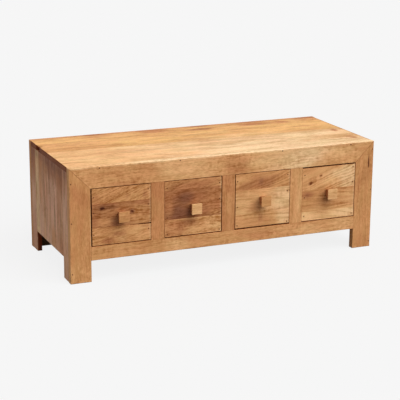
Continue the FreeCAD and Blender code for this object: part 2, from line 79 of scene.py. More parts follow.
# Widths of glued boards, as shares of what they fill: the top from its front edge, a side panel
# from its front leg to its back leg, a drawer front from its lower edge.
TOP_PLANK_SHARES = (0.16, 0.15, 0.21, 0.14, 0.18, 0.16)
SIDE_BOARD_SHARES = (0.22, 0.20, 0.11, 0.21, 0.13, 0.13)
DRAWER_BOARD_SHARES = {
    "front": ((0.31, 0.42, 0.27), (0.31, 0.53, 0.16), (0.25, 0.45, 0.30), (0.17, 0.40, 0.43)),
    "back": ((0.28, 0.46, 0.26), (0.20, 0.45, 0.35), (0.34, 0.47, 0.19), (0.24, 0.38, 0.38)),
}

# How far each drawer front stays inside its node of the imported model, or passes it: left, right,
# low and high edge.
FRONT_TRIMS = (
    (0.0022, -0.0012, 0.0004, 0.0004),
    (-0.0014, 0.0003, 0.0010, 0.0002),
    (0.0004, -0.0012, 0.0026, -0.0001),
    (-0.0019, -0.0008, 0.0003, 0.0029),
)
# The board whose joint with the next one has opened, where along it that begins, and how steeply the
# opening fades across the board.
OPEN_JOINT = ("front_drawer_1", 0)
OPEN_FROM_SHARE = 0.55
OPEN_POWER = 6

# Places of the nails, as shares of the rail's length, the post's height or the drawer's height.
RAIL_NAIL_SHARES = (0.092, 0.342, 0.679, 0.917)
POST_NAIL_SHARES = {"left": (0.087, 0.530, 0.870), "right": (0.053, 0.548, 0.925)}
DRAWER_NAIL_SHARES = (
    {"left": (0.19, 0.58, 0.85), "right": (0.20, 0.64, 0.91)},
    {"left": (0.05, 0.35, 0.88), "right": (0.04, 0.60, 0.89)},
    {"left": (0.06, 0.40, 0.87), "right": (0.04, 0.61, 0.91)},
    {"left": (0.09, 0.44, 0.86), "right": (0.05, 0.65, 0.94)},
)
DRAWER_NAIL_INSET = 0.008
# Rings of a nail head, each with its share of the radius and how far it stands proud: the middle of the
# head, its edge, the stained rim, and the end in the wood.
NAIL_RINGS = (
    (0.25, 0.00016),
    (0.60, 0.00014),
    (0.72, 0.00005),
    (0.95, 0.00006),
    (1.0, -0.0008),
    (0.5, -0.0030),
)
NAIL_POINTS = 12

# Rings of a knob, each with its share of the way from foot to face and how far it is drawn in.
KNOB_RINGS = (
    (-0.04, 0),
    (0, 0),
    (0.25, 0),
    (0.5, 0),
    (0.75, 0),
    (0.94, 0),
    (0.975, 0.0001),
    (0.993, 0.0006),
    (1.0, 0.0013),
    (1.0, 0.0028),
    (1.006, 0.009),
    (1.008, 0.0165),
)
KNOB_SIDES = 4
KNOB_SIDE_POINTS = 6
KNOB_CORNER = 0.0014
# Share of the way to its face at which the painted shade on a knob's sides begins to lighten.
KNOB_SHADE_SHARE = 0.80
KNOB_TONES = {"front": ("amber", "honey", "amber", "honey"), "back": ("honey", "tan", "tan", "honey")}

# The chip in the left end of one plank: its share of the plank's width, its length and the cells of its
# raggedness in a metre.
CHIPPED_PLANK = 4
CHIP_SHARES = (0.40, 0.98)
CHIP_LENGTH = 0.016
CHIP_SCALE = 364.0

# The filled crack: its share of the post's height, its place from the post's edge and how far it sways,
# with the cells of that in a metre. The power is under 1, so it is widest below its middle.
CRACK_RINGS = 14
CRACK_SHARES = (0.755, 0.885)
CRACK_INSET = 0.0200
CRACK_SWAY = 0.0015
CRACK_SWAY_SCALE = 26.0
CRACK_TIP = 0.0002
CRACK_LOW_POWER = 0.6
CRACK_PROUD = 0.0001

# Mesh of a board: the cell along its edges, and the lines that round an edge, each with its inset and
# drop as shares of the rounding.
EDGE_CELL = 0.0015
EDGE_CELL_MOST_SHARE = 0.25
FEWEST_CELLS = 2
ROUNDING_SHARES = ((0.293, 0.293), (0.0, 1.0))
SHARP_ANGLE = math.radians(50)
# Handwork: cells in a metre of the shallow hollows and of the rounding, and how far the rounding varies.
HOLLOW_SCALE = 14.0
ARRIS_SCALE = 26.0
ARRIS_UNEVEN_SHARE = 0.4
# Depths on a side facing a drawer gap that take painted shade, and the depth at which that shade ends.
GAP_SHADE_DEPTHS = (0.0035, 0.0065)
GAP_SHADE_END_DEPTH = 0.0095
# Brightness of the rounded edges, wear with a painted highlight, and of the boards' inner faces, dimmed as
# painted shade inside the case; and how far the ends of a drawer front show.
WEAR_AND_HIGHLIGHT_SHARE = 1.20
CASE_INSIDE_SHARE = 0.20
DRAWER_INSIDE_SHARE = 1.0
FRONT_END_SHARE = 0.5
# Where in its tree a board was sawn: how deep under its face and how far to its side the heart lies, and
# how far along the trunk.
PITH_DEPTH = (0.016, 0.050)
PITH_SHIFT = 0.040
GRAIN_SPREAD = 6.0
# Stands for a knot on a board with none: far from any board, with a radius that isn't nought.
NO_KNOT = Vector((-90, -90, 0.001))

# How a patch of tone fades: fully there inside the first share of its reach, gone past the second. Its
# outline is ragged, in cells so many to a metre and longer along the grain.
MARK_CORE_SHARE = 0.35
MARK_RIM_SHARE = 1.15
MARK_RAGGED_SHARE = 0.45
MARK_RAGGED_SCALE = 38.0
MARK_ALONG_SHARE = 0.3


@dataclass(frozen=True)
class Mark:
    """A patch of another tone on a board; its place and reach are shares of width and height."""
    tone: str
    place_shares: tuple
    reach_shares: tuple
    strength_share: float


@dataclass(frozen=True)
class Knot:
    """A knot in a board: its place in shares of width and height, and its radius."""
    place_shares: tuple
    radius: float


@dataclass(frozen=True)
class Look:
    """Tone of one board, the patches and knots on it, and how far its grain runs off its edge."""
    tone: str
    marks: tuple
    knots: tuple = ()
    slope_deg: float = 0.0

    def with_mark(self, mark):
        return replace(self, marks=(*self.marks, mark))


TOP_LOOKS = (
    Look("straw", (
        Mark("honey", (0.04, 0.5), (0.46, 1.2), 0.9), Mark("cream", (0.76, 0.4), (0.42, 1.2), 0.75),
        Mark("honey", (0.33, 0.8), (0.1, 0.2), 0.5), Mark("russet", (0.968, 0.88), (0.013, 0.3), 0.9),
    )),
    Look("straw", (
        Mark("honey", (0.08, 0.6), (0.4, 0.9), 0.85), Mark("cream", (0.66, 0.5), (0.26, 0.9), 0.8),
        Mark("honey", (0.93, 0.4), (0.12, 0.7), 0.5), Mark("russet", (0.96, 0.05), (0.014, 0.3), 0.8),
    )),
    Look("straw", (
        Mark("honey", (0.08, 0.5), (0.24, 1.0), 0.9), Mark("cream", (0.78, 0.35), (0.24, 0.4), 0.6),
        Mark("tan", (0.18, 0.25), (0.1, 0.12), 0.5), Mark("honey", (0.45, 0.8), (0.2, 0.14), 0.3),
        Mark("russet", (0.962, 0.7), (0.012, 0.28), 1.0),
    )),
    Look("gold", (
        Mark("tan", (0.06, 0.5), (0.24, 0.9), 0.6), Mark("straw", (0.62, 0.4), (0.22, 0.4), 0.5),
        Mark("amber", (0.6, 0.95), (0.14, 0.2), 0.6), Mark("tan", (0.84, 0.3), (0.1, 0.2), 0.6),
    )),
    Look("gold", (
        Mark("tan", (0.08, 0.5), (0.22, 0.9), 0.7), Mark("honey", (0.55, 0.4), (0.2, 0.3), 0.6),
        Mark("amber", (0.9, 0.25), (0.07, 0.2), 0.6), Mark("amber", (0.4, 0.8), (0.14, 0.16), 0.6),
        Mark("amber", (0.7, 0.75), (0.1, 0.16), 0.5), Mark("plum", (0.0, 0.7), (0.006, 0.32), 1.0),
    )),
    Look("gold", (
        Mark("tan", (0.5, 0.5), (0.6, 0.6), 0.5), Mark("russet", (0.22, 0.8), (0.07, 0.3), 0.7),
        Mark("russet", (0.41, 0.8), (0.07, 0.36), 0.9), Mark("umber", (0.56, 0.42), (0.06, 0.32), 0.9),
        Mark("russet", (0.75, 0.66), (0.07, 0.34), 1.0), Mark("russet", (0.86, 0.6), (0.03, 0.3), 0.9),
        Mark("russet", (0.96, 0.8), (0.06, 0.4), 0.6),
    )),
)
# Wear at the right end of every plank of the top; wear and a pale painted highlight at the right end of every
# board of a drawer front.
TOP_END_MARK = Mark("russet", (1.0, 0.5), (0.003, 9.0), 0.8)
FRONT_END_HIGHLIGHT_MARK = Mark("straw", (1.0, 0.5), (0.012, 9.0), 0.4)
# Painted shade along the upper end of every board of a side panel, under the top.
SIDE_TOP_SHADE_MARK = Mark("plum", (0.5, 1.0), (9.0, 0.11), 0.4)

SIDE_LOOKS = {
    # On the left boards, the umber and russet patches across the upper ends are painted shade, darker towards
    # the top.
    "left": (
        Look("ash_with_painted_reflection", (Mark("russet", (0.5, 0.97), (0.9, 0.2), 0.6), Mark("tan", (0.3, 0.2), (0.9, 0.3), 0.4))),
        Look("amber", (
            Mark("ash_with_painted_reflection", (0.5, 0.4), (3.0, 3.0), 0.5), Mark("russet", (0.6, 0.94), (0.9, 0.26), 0.9),
            Mark("umber", (0.35, 0.62), (0.2, 0.22), 0.6), Mark("plum", (0.55, 0.42), (0.1, 0.1), 0.5),
            Mark("russet", (0.6, 0.12), (0.5, 0.16), 0.5),
        )),
        Look("ash_with_painted_reflection", (
            Mark("umber", (0.5, 1.0), (1.2, 0.32), 0.9), Mark("umber", (0.65, 0.35), (0.14, 0.2), 0.6),
            Mark("amber", (0.4, 0.1), (0.8, 0.2), 0.8),
        )),
        Look("ash_with_painted_reflection", (
            Mark("umber", (0.5, 1.0), (1.2, 0.38), 1.0), Mark("amber", (0.5, 0.3), (0.5, 0.2), 0.5),
        )),
        Look("ash_with_painted_reflection", (
            Mark("umber", (0.5, 1.0), (1.2, 0.34), 0.9), Mark("russet", (0.75, 0.5), (0.16, 0.4), 0.6),
            Mark("honey", (0.3, 0.2), (0.3, 0.3), 0.5), Mark("tan", (0.4, 0.7), (0.6, 0.4), 0.25),
        )),
        Look("ash_with_painted_reflection", (
            Mark("umber", (0.5, 1.0), (1.2, 0.46), 1.0), Mark("russet", (0.2, 0.4), (0.2, 0.3), 0.5),
            Mark("tan", (0.5, 0.66), (0.9, 0.4), 0.5),
        )),
        Look("cream", (Mark("straw", (0.5, 1.0), (0.9, 0.3), 0.9),)),
        Look("ash_with_painted_reflection", (
            Mark("umber", (0.5, 1.0), (1.2, 0.44), 1.0), Mark("umber", (0.4, 0.1), (1.2, 0.45), 0.5),
        )),
    ),
    "right": (
        Look("tan", (Mark("honey", (0.5, 0.3), (0.5, 0.3), 0.6),)),
        Look("honey", (Mark("tan", (0.3, 0.7), (0.4, 0.3), 0.6),)),
        Look("amber", (Mark("russet", (0.5, 0.3), (0.4, 0.2), 0.6),)),
        Look("tan", (Mark("umber", (0.4, 0.66), (0.3, 0.12), 0.5),), (Knot((0.45, 0.62), 0.006),)),
        Look("straw", (Mark("honey", (0.5, 0.2), (0.5, 0.3), 0.7),)),
        Look("amber", (Mark("umber", (0.3, 0.8), (0.2, 0.2), 0.5),)),
        Look("tan", (Mark("honey", (0.5, 0.5), (0.5, 0.3), 0.5),)),
        Look("amber", (Mark("tan", (0.5, 0.4), (0.5, 0.3), 0.6),)),
    ),
}

FRAME_LOOKS = {
    "front_left_post": Look("amber", (
        Mark("russet", (0.55, 0.84), (0.9, 0.1), 0.7), Mark("tan", (0.5, 0.08), (0.9, 0.16), 0.9),
        Mark("tan", (0.75, 0.42), (0.2, 0.3), 0.5), Mark("russet", (0.4, 0.62), (0.9, 0.3), 0.3),
        # The first honey strip, on the edge by the drawer gap, is a painted highlight.
        Mark("honey", (1.0, 0.56), (0.03, 0.3), 0.75), Mark("honey", (0.0, 0.5), (0.01, 9.0), 0.7),
    )),
    "front_right_post": Look("amber", (
        Mark("tan", (0.3, 0.32), (0.25, 0.25), 0.6), Mark("russet", (0.6, 0.76), (0.6, 0.14), 0.5),
        Mark("russet", (0.7, 0.06), (0.5, 0.1), 0.4),
    )),
    "front_top_rail": Look("tan", (
        Mark("amber", (0.14, 0.4), (0.14, 0.7), 0.8), Mark("russet", (0.12, 0.08), (0.08, 0.14), 0.7),
        Mark("honey", (0.35, 0.55), (0.13, 0.7), 0.8), Mark("russet", (0.53, 0.4), (0.06, 0.6), 0.7),
        Mark("honey", (0.66, 0.6), (0.11, 0.7), 0.95), Mark("straw", (0.76, 0.5), (0.12, 0.9), 1.0),
        Mark("cream", (0.8, 0.5), (0.06, 0.7), 0.2), Mark("honey", (0.9, 0.6), (0.08, 0.4), 0.6),
        Mark("amber", (0.84, 0.15), (0.04, 0.16), 0.6), Mark("cream", (0.6, 1.0), (9.0, 0.018), 1.0),
        Mark("honey", (0.0, 1.0), (0.3, 0.018), 0.8),
    )),
    "front_bottom_rail": Look("amber", (
        Mark("tan", (0.5, 0.5), (0.3, 0.9), 0.6), Mark("honey", (0.31, 0.5), (0.06, 0.7), 0.6),
        Mark("russet", (0.62, 0.4), (0.07, 0.5), 0.5), Mark("tan", (0.86, 0.5), (0.16, 0.9), 0.9),
        Mark("honey", (0.82, 0.4), (0.06, 0.5), 0.5), Mark("honey", (0.96, 0.5), (0.06, 0.8), 0.5),
        Mark("tan", (0.12, 0.6), (0.05, 0.5), 0.6),
    )),
    "front_mullions": (
        Look("amber", (
            Mark("russet", (0.5, 0.5), (2.0, 2.0), 0.4), Mark("russet", (0.5, 0.9), (0.8, 0.3), 0.6),
        )),
        Look("amber", (
            Mark("russet", (0.5, 0.5), (2.0, 2.0), 0.6), Mark("tan", (0.5, 0.5), (0.3, 0.2), 0.6),
        )),
        Look("tan", (
            Mark("honey", (0.75, 0.5), (0.2, 0.5), 0.5), Mark("amber", (0.25, 0.5), (0.2, 0.5), 0.7),
        )),
    ),
    "back_left_post": Look("tan", (Mark("honey", (0.4, 0.5), (0.5, 0.3), 0.5),)),
    "back_right_post": Look("amber", (Mark("tan", (0.5, 0.25), (0.5, 0.2), 0.6),)),
    "back_top_rail": Look("tan", (
        Mark("russet", (0.25, 0.4), (0.07, 0.6), 0.6), Mark("honey", (0.6, 0.5), (0.16, 0.7), 0.6),
        Mark("amber", (0.84, 0.4), (0.08, 0.6), 0.6), Mark("russet", (0.5, 1.0), (9.0, 0.02), 0.4),
        Mark("umber", (0.8, 1.0), (0.04, 0.02), 0.9), Mark("russet", (0.59, 1.0), (0.06, 0.02), 0.9),
        Mark("umber", (0.43, 1.0), (0.04, 0.02), 0.8), Mark("russet", (0.24, 1.0), (0.06, 0.02), 0.9),
        Mark("umber", (0.03, 1.0), (0.05, 0.02), 0.8),
    ), (Knot((0.82, 0.4), 0.005),)),
    "back_bottom_rail": Look("amber", (Mark("tan", (0.4, 0.5), (0.2, 0.8), 0.6),)),
    "back_mullions": (
        Look("tan", (Mark("amber", (0.3, 0.6), (0.3, 0.3), 0.6),)),
        Look("amber", (Mark("tan", (0.6, 0.4), (0.3, 0.4), 0.6),)),
        Look("amber", (Mark("russet", (0.5, 0.8), (0.4, 0.2), 0.5),)),
    ),
}

DRAWER_LOOKS = {
    "front_drawer_1": (
        Look("amber", (
            Mark("tan", (0.85, 0.5), (0.25, 0.7), 0.8), Mark("umber", (0.27, 0.2), (0.13, 0.26), 0.9),
            Mark("umber", (0.45, 0.52), (0.15, 0.16), 0.8), Mark("honey", (0.5, 0.2), (0.1, 0.16), 0.6),
            Mark("umber", (0.92, 0.86), (0.1, 0.1), 0.7), Mark("tan", (0.1, 0.7), (0.12, 0.3), 0.6),
        ), slope_deg=9),
        Look("umber", (
            Mark("amber", (0.5, 0.45), (0.6, 0.7), 0.3), Mark("amber", (0.8, 0.4), (0.3, 0.5), 0.7),
            Mark("amber", (0.2, 0.24), (0.16, 0.22), 0.7), Mark("plum", (0.3, 0.82), (0.22, 0.14), 0.5),
            Mark("plum", (0.17, 0.8), (0.05, 0.12), 1.0), Mark("plum", (0.68, 0.56), (0.035, 0.12), 1.0),
            # The last plum patch, below and left of the knob, is a painted knob shadow.
            Mark("amber", (0.88, 0.14), (0.16, 0.2), 0.7), Mark("plum", (0.4, 0.16), (0.09, 0.32), 0.5),
        ), (Knot((0.17, 0.8), 0.005), Knot((0.68, 0.56), 0.004))),
        Look("amber", (
            Mark("russet", (0.06, 0.25), (0.13, 0.6), 0.8), Mark("umber", (0.6, 0.35), (0.03, 0.3), 0.5),
            Mark("umber", (0.9, 0.35), (0.05, 0.3), 0.8), Mark("tan", (0.72, 0.75), (0.14, 0.3), 0.7),
            Mark("tan", (0.3, 0.65), (0.1, 0.3), 0.5),
        ), slope_deg=20),
    ),
    "front_drawer_2": (
        Look("tan", (
            Mark("russet", (0.14, 0.4), (0.26, 0.9), 0.8), Mark("umber", (0.42, 0.8), (0.16, 0.24), 0.8),
            Mark("umber", (0.28, 0.3), (0.03, 0.6), 0.8), Mark("honey", (0.85, 0.6), (0.18, 0.5), 0.6),
        )),
        Look("umber", (
            Mark("plum", (0.36, 0.66), (0.17, 0.28), 0.85),
            Mark("plum", (0.22, 0.25), (0.22, 0.36), 0.85), Mark("russet", (0.85, 0.55), (0.2, 0.5), 0.7),
            Mark("amber", (0.88, 0.12), (0.14, 0.14), 0.7), Mark("russet", (0.08, 0.5), (0.08, 0.5), 0.6),
            # This plum patch, below and left of the knob, is a painted knob shadow.
            Mark("plum", (0.42, 0.16), (0.07, 0.26), 0.8),
        ), slope_deg=5),
        Look("amber", (
            Mark("umber", (0.45, 0.4), (0.44, 0.8), 0.8), Mark("umber", (0.82, 0.4), (0.26, 0.8), 0.55),
            Mark("umber", (0.1, 0.5), (0.16, 0.5), 0.4),
        ), slope_deg=7),
    ),
    "front_drawer_3": (
        Look("tan", (
            Mark("amber", (0.35, 0.5), (0.5, 0.9), 0.6), Mark("straw", (0.9, 0.6), (0.2, 0.8), 0.8),
            Mark("tan", (0.16, 0.5), (0.16, 0.6), 0.6), Mark("russet", (0.52, 0.4), (0.14, 0.5), 0.3),
            # The next umber patch, high on this board under the knob, is a painted knob shadow.
            Mark("umber", (0.46, 0.72), (0.04, 0.5), 0.6),
        )),
        Look("tan", (
            Mark("straw", (0.88, 0.5), (0.3, 0.9), 0.8), Mark("honey", (0.5, 0.6), (0.24, 0.6), 0.7),
            Mark("honey", (0.14, 0.45), (0.24, 0.6), 0.8), Mark("russet", (0.36, 0.25), (0.1, 0.24), 0.4),
            # The russet patch at this board's foot, under the knob, is a painted knob shadow.
            Mark("amber", (0.1, 0.85), (0.12, 0.2), 0.6), Mark("russet", (0.42, 0.1), (0.05, 0.2), 0.5),
        ), (Knot((0.64, 0.5), 0.003),)),
        Look("amber", (
            Mark("umber", (0.5, 0.4), (0.26, 0.5), 0.8), Mark("umber", (0.22, 0.25), (0.16, 0.3), 0.7),
            Mark("plum", (0.47, 0.42), (0.05, 0.28), 0.5), Mark("umber", (0.72, 0.7), (0.14, 0.2), 0.5),
            Mark("tan", (0.06, 0.75), (0.12, 0.4), 0.6),
        ), slope_deg=14),
    ),
    "front_drawer_4": (
        Look("honey", (
            Mark("straw", (0.8, 0.6), (0.3, 0.6), 0.6), Mark("tan", (0.4, 0.8), (0.2, 0.3), 0.5),
        ), slope_deg=-6),
        Look("amber", (
            Mark("umber", (0.12, 0.78), (0.16, 0.2), 0.9), Mark("plum", (0.1, 0.76), (0.06, 0.1), 0.5),
            Mark("honey", (0.9, 0.4), (0.2, 0.6), 0.6), Mark("tan", (0.7, 0.4), (0.26, 0.6), 0.9),
            # The faint russet patch at the knob's lower left is a painted knob shadow.
            Mark("tan", (0.25, 0.15), (0.2, 0.2), 0.7), Mark("russet", (0.45, 0.5), (0.14, 0.4), 0.2),
        )),
        Look("tan", (
            Mark("amber", (0.14, 0.8), (0.18, 0.24), 0.6), Mark("honey", (0.62, 0.4), (0.34, 0.4), 0.8),
            Mark("straw", (0.72, 0.66), (0.26, 0.24), 0.7), Mark("straw", (0.88, 0.5), (0.22, 0.8), 1.0),
        ), (Knot((0.16, 0.31), 0.0058), Knot((0.35, 0.61), 0.0032)), slope_deg=15),
    ),
    "back_drawer_1": (
        Look("tan", (Mark("amber", (0.3, 0.5), (0.2, 0.5), 0.6),), slope_deg=5),
        Look("amber", (Mark("umber", (0.3, 0.6), (0.14, 0.3), 0.6),), (Knot((0.3, 0.6), 0.005),)),
        Look("honey", (Mark("straw", (0.7, 0.5), (0.2, 0.4), 0.6),)),
    ),
    "back_drawer_2": (
        Look("honey", (Mark("tan", (0.2, 0.5), (0.2, 0.5), 0.7),)),
        Look("tan", (
            Mark("russet", (0.7, 0.4), (0.2, 0.4), 0.7), Mark("honey", (0.2, 0.6), (0.2, 0.3), 0.5),
        )),
        Look("russet", (Mark("umber", (0.4, 0.5), (0.2, 0.4), 0.6),), slope_deg=6),
    ),
    "back_drawer_3": (
        Look("amber", (Mark("tan", (0.8, 0.5), (0.2, 0.5), 0.6),)),
        Look("umber", (
            Mark("plum", (0.6, 0.6), (0.2, 0.3), 0.7), Mark("russet", (0.2, 0.4), (0.2, 0.4), 0.7),
        )),
        Look("tan", (Mark("amber", (0.5, 0.5), (0.2, 0.5), 0.6),), slope_deg=12),
    ),
    "back_drawer_4": (
        Look("tan", (Mark("honey", (0.6, 0.5), (0.3, 0.5), 0.6),)),
        Look("honey", (Mark("amber", (0.2, 0.6), (0.2, 0.3), 0.7),), slope_deg=-8),
        Look("amber", (Mark("russet", (0.7, 0.5), (0.14, 0.4), 0.6),), (Knot((0.75, 0.5), 0.0045),)),
    ),
}


def length(name, description, default):
    return bpy.props.FloatProperty(
        name=name, description=description, default=default, min=0, subtype="DISTANCE", unit="LENGTH"
    )


def tone(name, description, default):
    return bpy.props.FloatVectorProperty(
        name=name, description=description, default=default, min=0, max=1, size=3, subtype="COLOR"
    )


class CoffeeTableSizes(bpy.types.PropertyGroup):
    """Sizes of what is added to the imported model."""
    mesh_step: length("Mesh step", "Distance between points on a board's face", 0.008)
    arris: length("Arris", "Rounding of the table's outside edges", 0.0022)
    front_edge: length("Drawer edge", "Rounding of a drawer front's edges and of its opening", 0.0007)
    seam: length("Seam", "Rounding of an edge that is glued to the next board", 0.0005)
    mitre: length("Mitre", "Rounding of the two edges that meet at a mitre", 0.0007)
    hollow: length("Hollow", "Depth of the shallow hollows that sanding leaves", 0.0003)
    chip_depth: length("Chip", "Depth of the chip in the top's left end", 0.010)
    open_joint: length("Open joint", "Widest place of the open joint in the first drawer front", 0.0044)
    nail_radius: length("Nail radius", "Radius of a nail head with the stained wood round it", 0.0025)
    crack_width: length("Crack", "Widest place of the filled crack in the right post", 0.0058)
    edge_bevel: length("Inner bevel", "Bevel on the boards inside the table", 0.0008)


class CoffeeTableTones(bpy.types.PropertyGroup):
    """Tones of the wood and of what stands round the table."""
    cream: tone("Cream", "Palest sapwood, on the top", (0.86, 0.60, 0.34))
    straw: tone("Straw", "Pale boards", (0.768, 0.48, 0.24))
    honey: tone("Honey", "Golden boards", (0.75, 0.427, 0.19))
    gold: tone("Gold", "Deep golden boards at the back of the top", (0.74, 0.415, 0.155))
    tan: tone("Tan", "Common tone of the frame", (0.642, 0.322, 0.131))
    amber: tone("Amber", "Orange-brown boards", (0.574, 0.273, 0.105))
    # Ash: partly the wood's own grey, partly a painted reflection of the pale floor.
    ash_with_painted_reflection: tone("Ash", "Greyer boards of the left side", (0.74, 0.44, 0.285))
    russet: tone("Russet", "Red-brown streaks", (0.482, 0.199, 0.077))
    umber: tone("Umber", "Brown heartwood", (0.402, 0.159, 0.063))
    plum: tone("Plum", "Dark purple-brown heartwood", (0.215, 0.080, 0.041))
    inner: tone("Inner wood", "Plain wood of the drawer boxes", (0.60, 0.40, 0.22))
    hidden: tone("Hidden wood", "Dark wood of the runners, the kickers and the divider", (0.30, 0.18, 0.10))
    # The rim tone is painted shade at the mouth of the gaps round the drawers, and it darkens the top's left
    # end.
    rim: tone("Rim", "Red-brown wax at the mouth of the gaps round the drawers", (0.42, 0.09, 0.012))
    # The next tone is painted shade deep in the gaps round the drawers and down the inner edges of the legs.
    painted_shade: tone("Stain", "Dark red-brown dirt in the gaps round the drawers", (0.17, 0.030, 0.005))
    filler: tone("Filler", "Dark filler of a crack and stain round a nail", (0.085, 0.026, 0.010))
    floor: tone("Floor", "Plain floor and background", (0.913, 0.913, 0.913))
    key_light: tone("Key light", "Broad lamp on the right, a little cool", (0.895, 0.955, 1.0))
    fill_light: tone("Fill light", "Light from all round, a little warm", (1.0, 0.90, 0.83))


class CoffeeTableStage(bpy.types.PropertyGroup):
    """Light on the table."""
    key_strength: bpy.props.FloatProperty(
        name="Key light", description="Strength of the broad lamp on the right", default=3.13, min=0
    )
    ambient: bpy.props.FloatProperty(
        name="Ambient", description="Light from all round", default=0.495, min=0, subtype="FACTOR"
    )


def tone_of(name):
    return Vector(getattr(bpy.context.scene.coffee_table_tones, name))


def opaque(colour, share=1.0):
    """A tone for a colour socket, brighter or darker by a share."""
    return (*(share * part for part in colour), 1.0)


def smooth(share):
    kept = min(1.0, max(0.0, share))
    return kept * kept * (3 - 2 * kept)


def running(shares):
    """The sum of the shares before each share, with that share."""
    start = 0.0
    for share in shares:
        yield start, share
        start += share


def rectangle(left, low, right, high):
    return ((left, low), (right, low), (right, high), (left, high))


def drawers(faces=FACES):
    """Face, bay and name of each drawer in these faces."""
    for face in faces:
        for bay in range(BAYS):
            yield face, bay, f"{face}_drawer_{bay + 1}"


@dataclass(frozen=True)
class Plane:
    """Outer face of a node: its lower left corner and directions as seen from outside, and its size."""
    corner: Vector
    right: Vector
    up: Vector
    out: Vector
    width: float
    height: float
    depth: float

    def point(self, across, rise, proud):
        return self.corner + self.right * across + self.up * rise + self.out * proud


def outer_face(node, side):
    out = OUTWARDS[side]
    up = TOWARDS_BACK if side == "top" else UP
    right = up.cross(out)
    low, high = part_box(node)
    facing = out + right + up
    corner = Vector(low[i] if facing[i] > 0 else high[i] for i in range(len(low)))
    for i, direction in enumerate(out):
        if direction:
            corner[i] = high[i] if direction > 0 else low[i]
    span = high - low
    sizes = (abs(span.dot(direction)) for direction in (right, up, out))
    return Plane(corner, right, up, out, *sizes)


class Shell:
    """Points and faces of one piece, with what the wood material reads at each of them."""

    def __init__(self):
        self.points = []
        self.faces = []
        self.grain = []
        self.tones = []
        self.knots = ([], [])
        self.end_shares = []

    def add_point(self, place, grain, colour, knots):
        self.points.append(place)
        self.grain.append(grain)
        self.tones.append(opaque(colour))
        for kept, knot in zip(self.knots, knots):
            kept.append(knot)
        return len(self.points) - 1

    def add_face(self, corners, end_share=0.0):
        self.faces.append(corners)
        self.end_shares.append((end_share,))

    def add_rings(self, rings, colours, grain_axes):
        """A closed solid through rings of points, from its first ring to its last, a colour to each."""
        index = []
        for ring, colour in zip(rings, colours):
            row = []
            for place in ring:
                grain = Vector(place.dot(axis) for axis in grain_axes)
                row.append(self.add_point(place, grain, colour, (NO_KNOT, NO_KNOT)))
            index.append(row)
        for row, following in zip(index, index[1:]):
            for k in range(len(row)):
                after = (k + 1) % len(row)
                self.add_face((row[k], row[after], following[after], following[k]))
        self.add_face(tuple(reversed(index[0])))
        self.add_face(tuple(index[-1]))

    def make(self, name, material):
        mesh = bpy.data.meshes.new(name)
        mesh.from_pydata(self.points, [], self.faces)
        for attribute, kind, domain, field, rows in (
            ("grain", "FLOAT_VECTOR", "POINT", "vector", self.grain),
            ("tone", "FLOAT_COLOR", "POINT", "color", self.tones),
            ("knot", "FLOAT_VECTOR", "POINT", "vector", self.knots[0]),
            ("second_knot", "FLOAT_VECTOR", "POINT", "vector", self.knots[1]),
            ("end_grain", "FLOAT", "FACE", "value", self.end_shares),
        ):
            stored = mesh.attributes.new(attribute, kind, domain)
            stored.data.foreach_set(field, [number for row in rows for number in row])
        mesh.shade_smooth()
        mesh.set_sharp_from_angle(angle=SHARP_ANGLE)
        mesh.materials.append(material)
        piece = bpy.data.objects.new(name, mesh)
        bpy.context.scene.collection.objects.link(piece)
        return piece


def place_piece(piece, body, slot, *nodes):
    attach(piece, body)
    if nodes:
        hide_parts(*nodes)


@dataclass(frozen=True)
class Edges:
    """Rounding of the four edges of a board, and the look of the sides below them.

    Along an edge that faces a drawer gap, from a share of the board's height up, the mouth and the side
    below take painted shade; some edges take the rim's painted shade on their rounding alone, and the whole
    side below a dark edge is painted shade. The inner face is dimmed to inside_share as painted shade,
    up to its rim where has_dark_rim is set, and the ends show end grain by end_share.
    """
    left: float
    right: float
    low: float
    high: float
    gap_shaded: tuple = ()
    rim_toned: tuple = ()
    dark: tuple = ()
    inside_share: float = CASE_INSIDE_SHARE
    has_dark_rim: bool = False
    end_share: float = 1.0
    gap_shade_from_share: float = 0.0


def stops(span):
    """Places of the mesh lines across a board, as shares, with one close to each edge."""
    step = bpy.context.scene.coffee_table_sizes.mesh_step
    edge = min(EDGE_CELL, span * EDGE_CELL_MOST_SHARE)
    cells = max(FEWEST_CELLS, round((span - 2 * edge) / step))
    inner = [edge + (span - 2 * edge) * i / cells for i in range(cells + 1)]
    return [0.0, *(place / span for place in inner), 1.0]


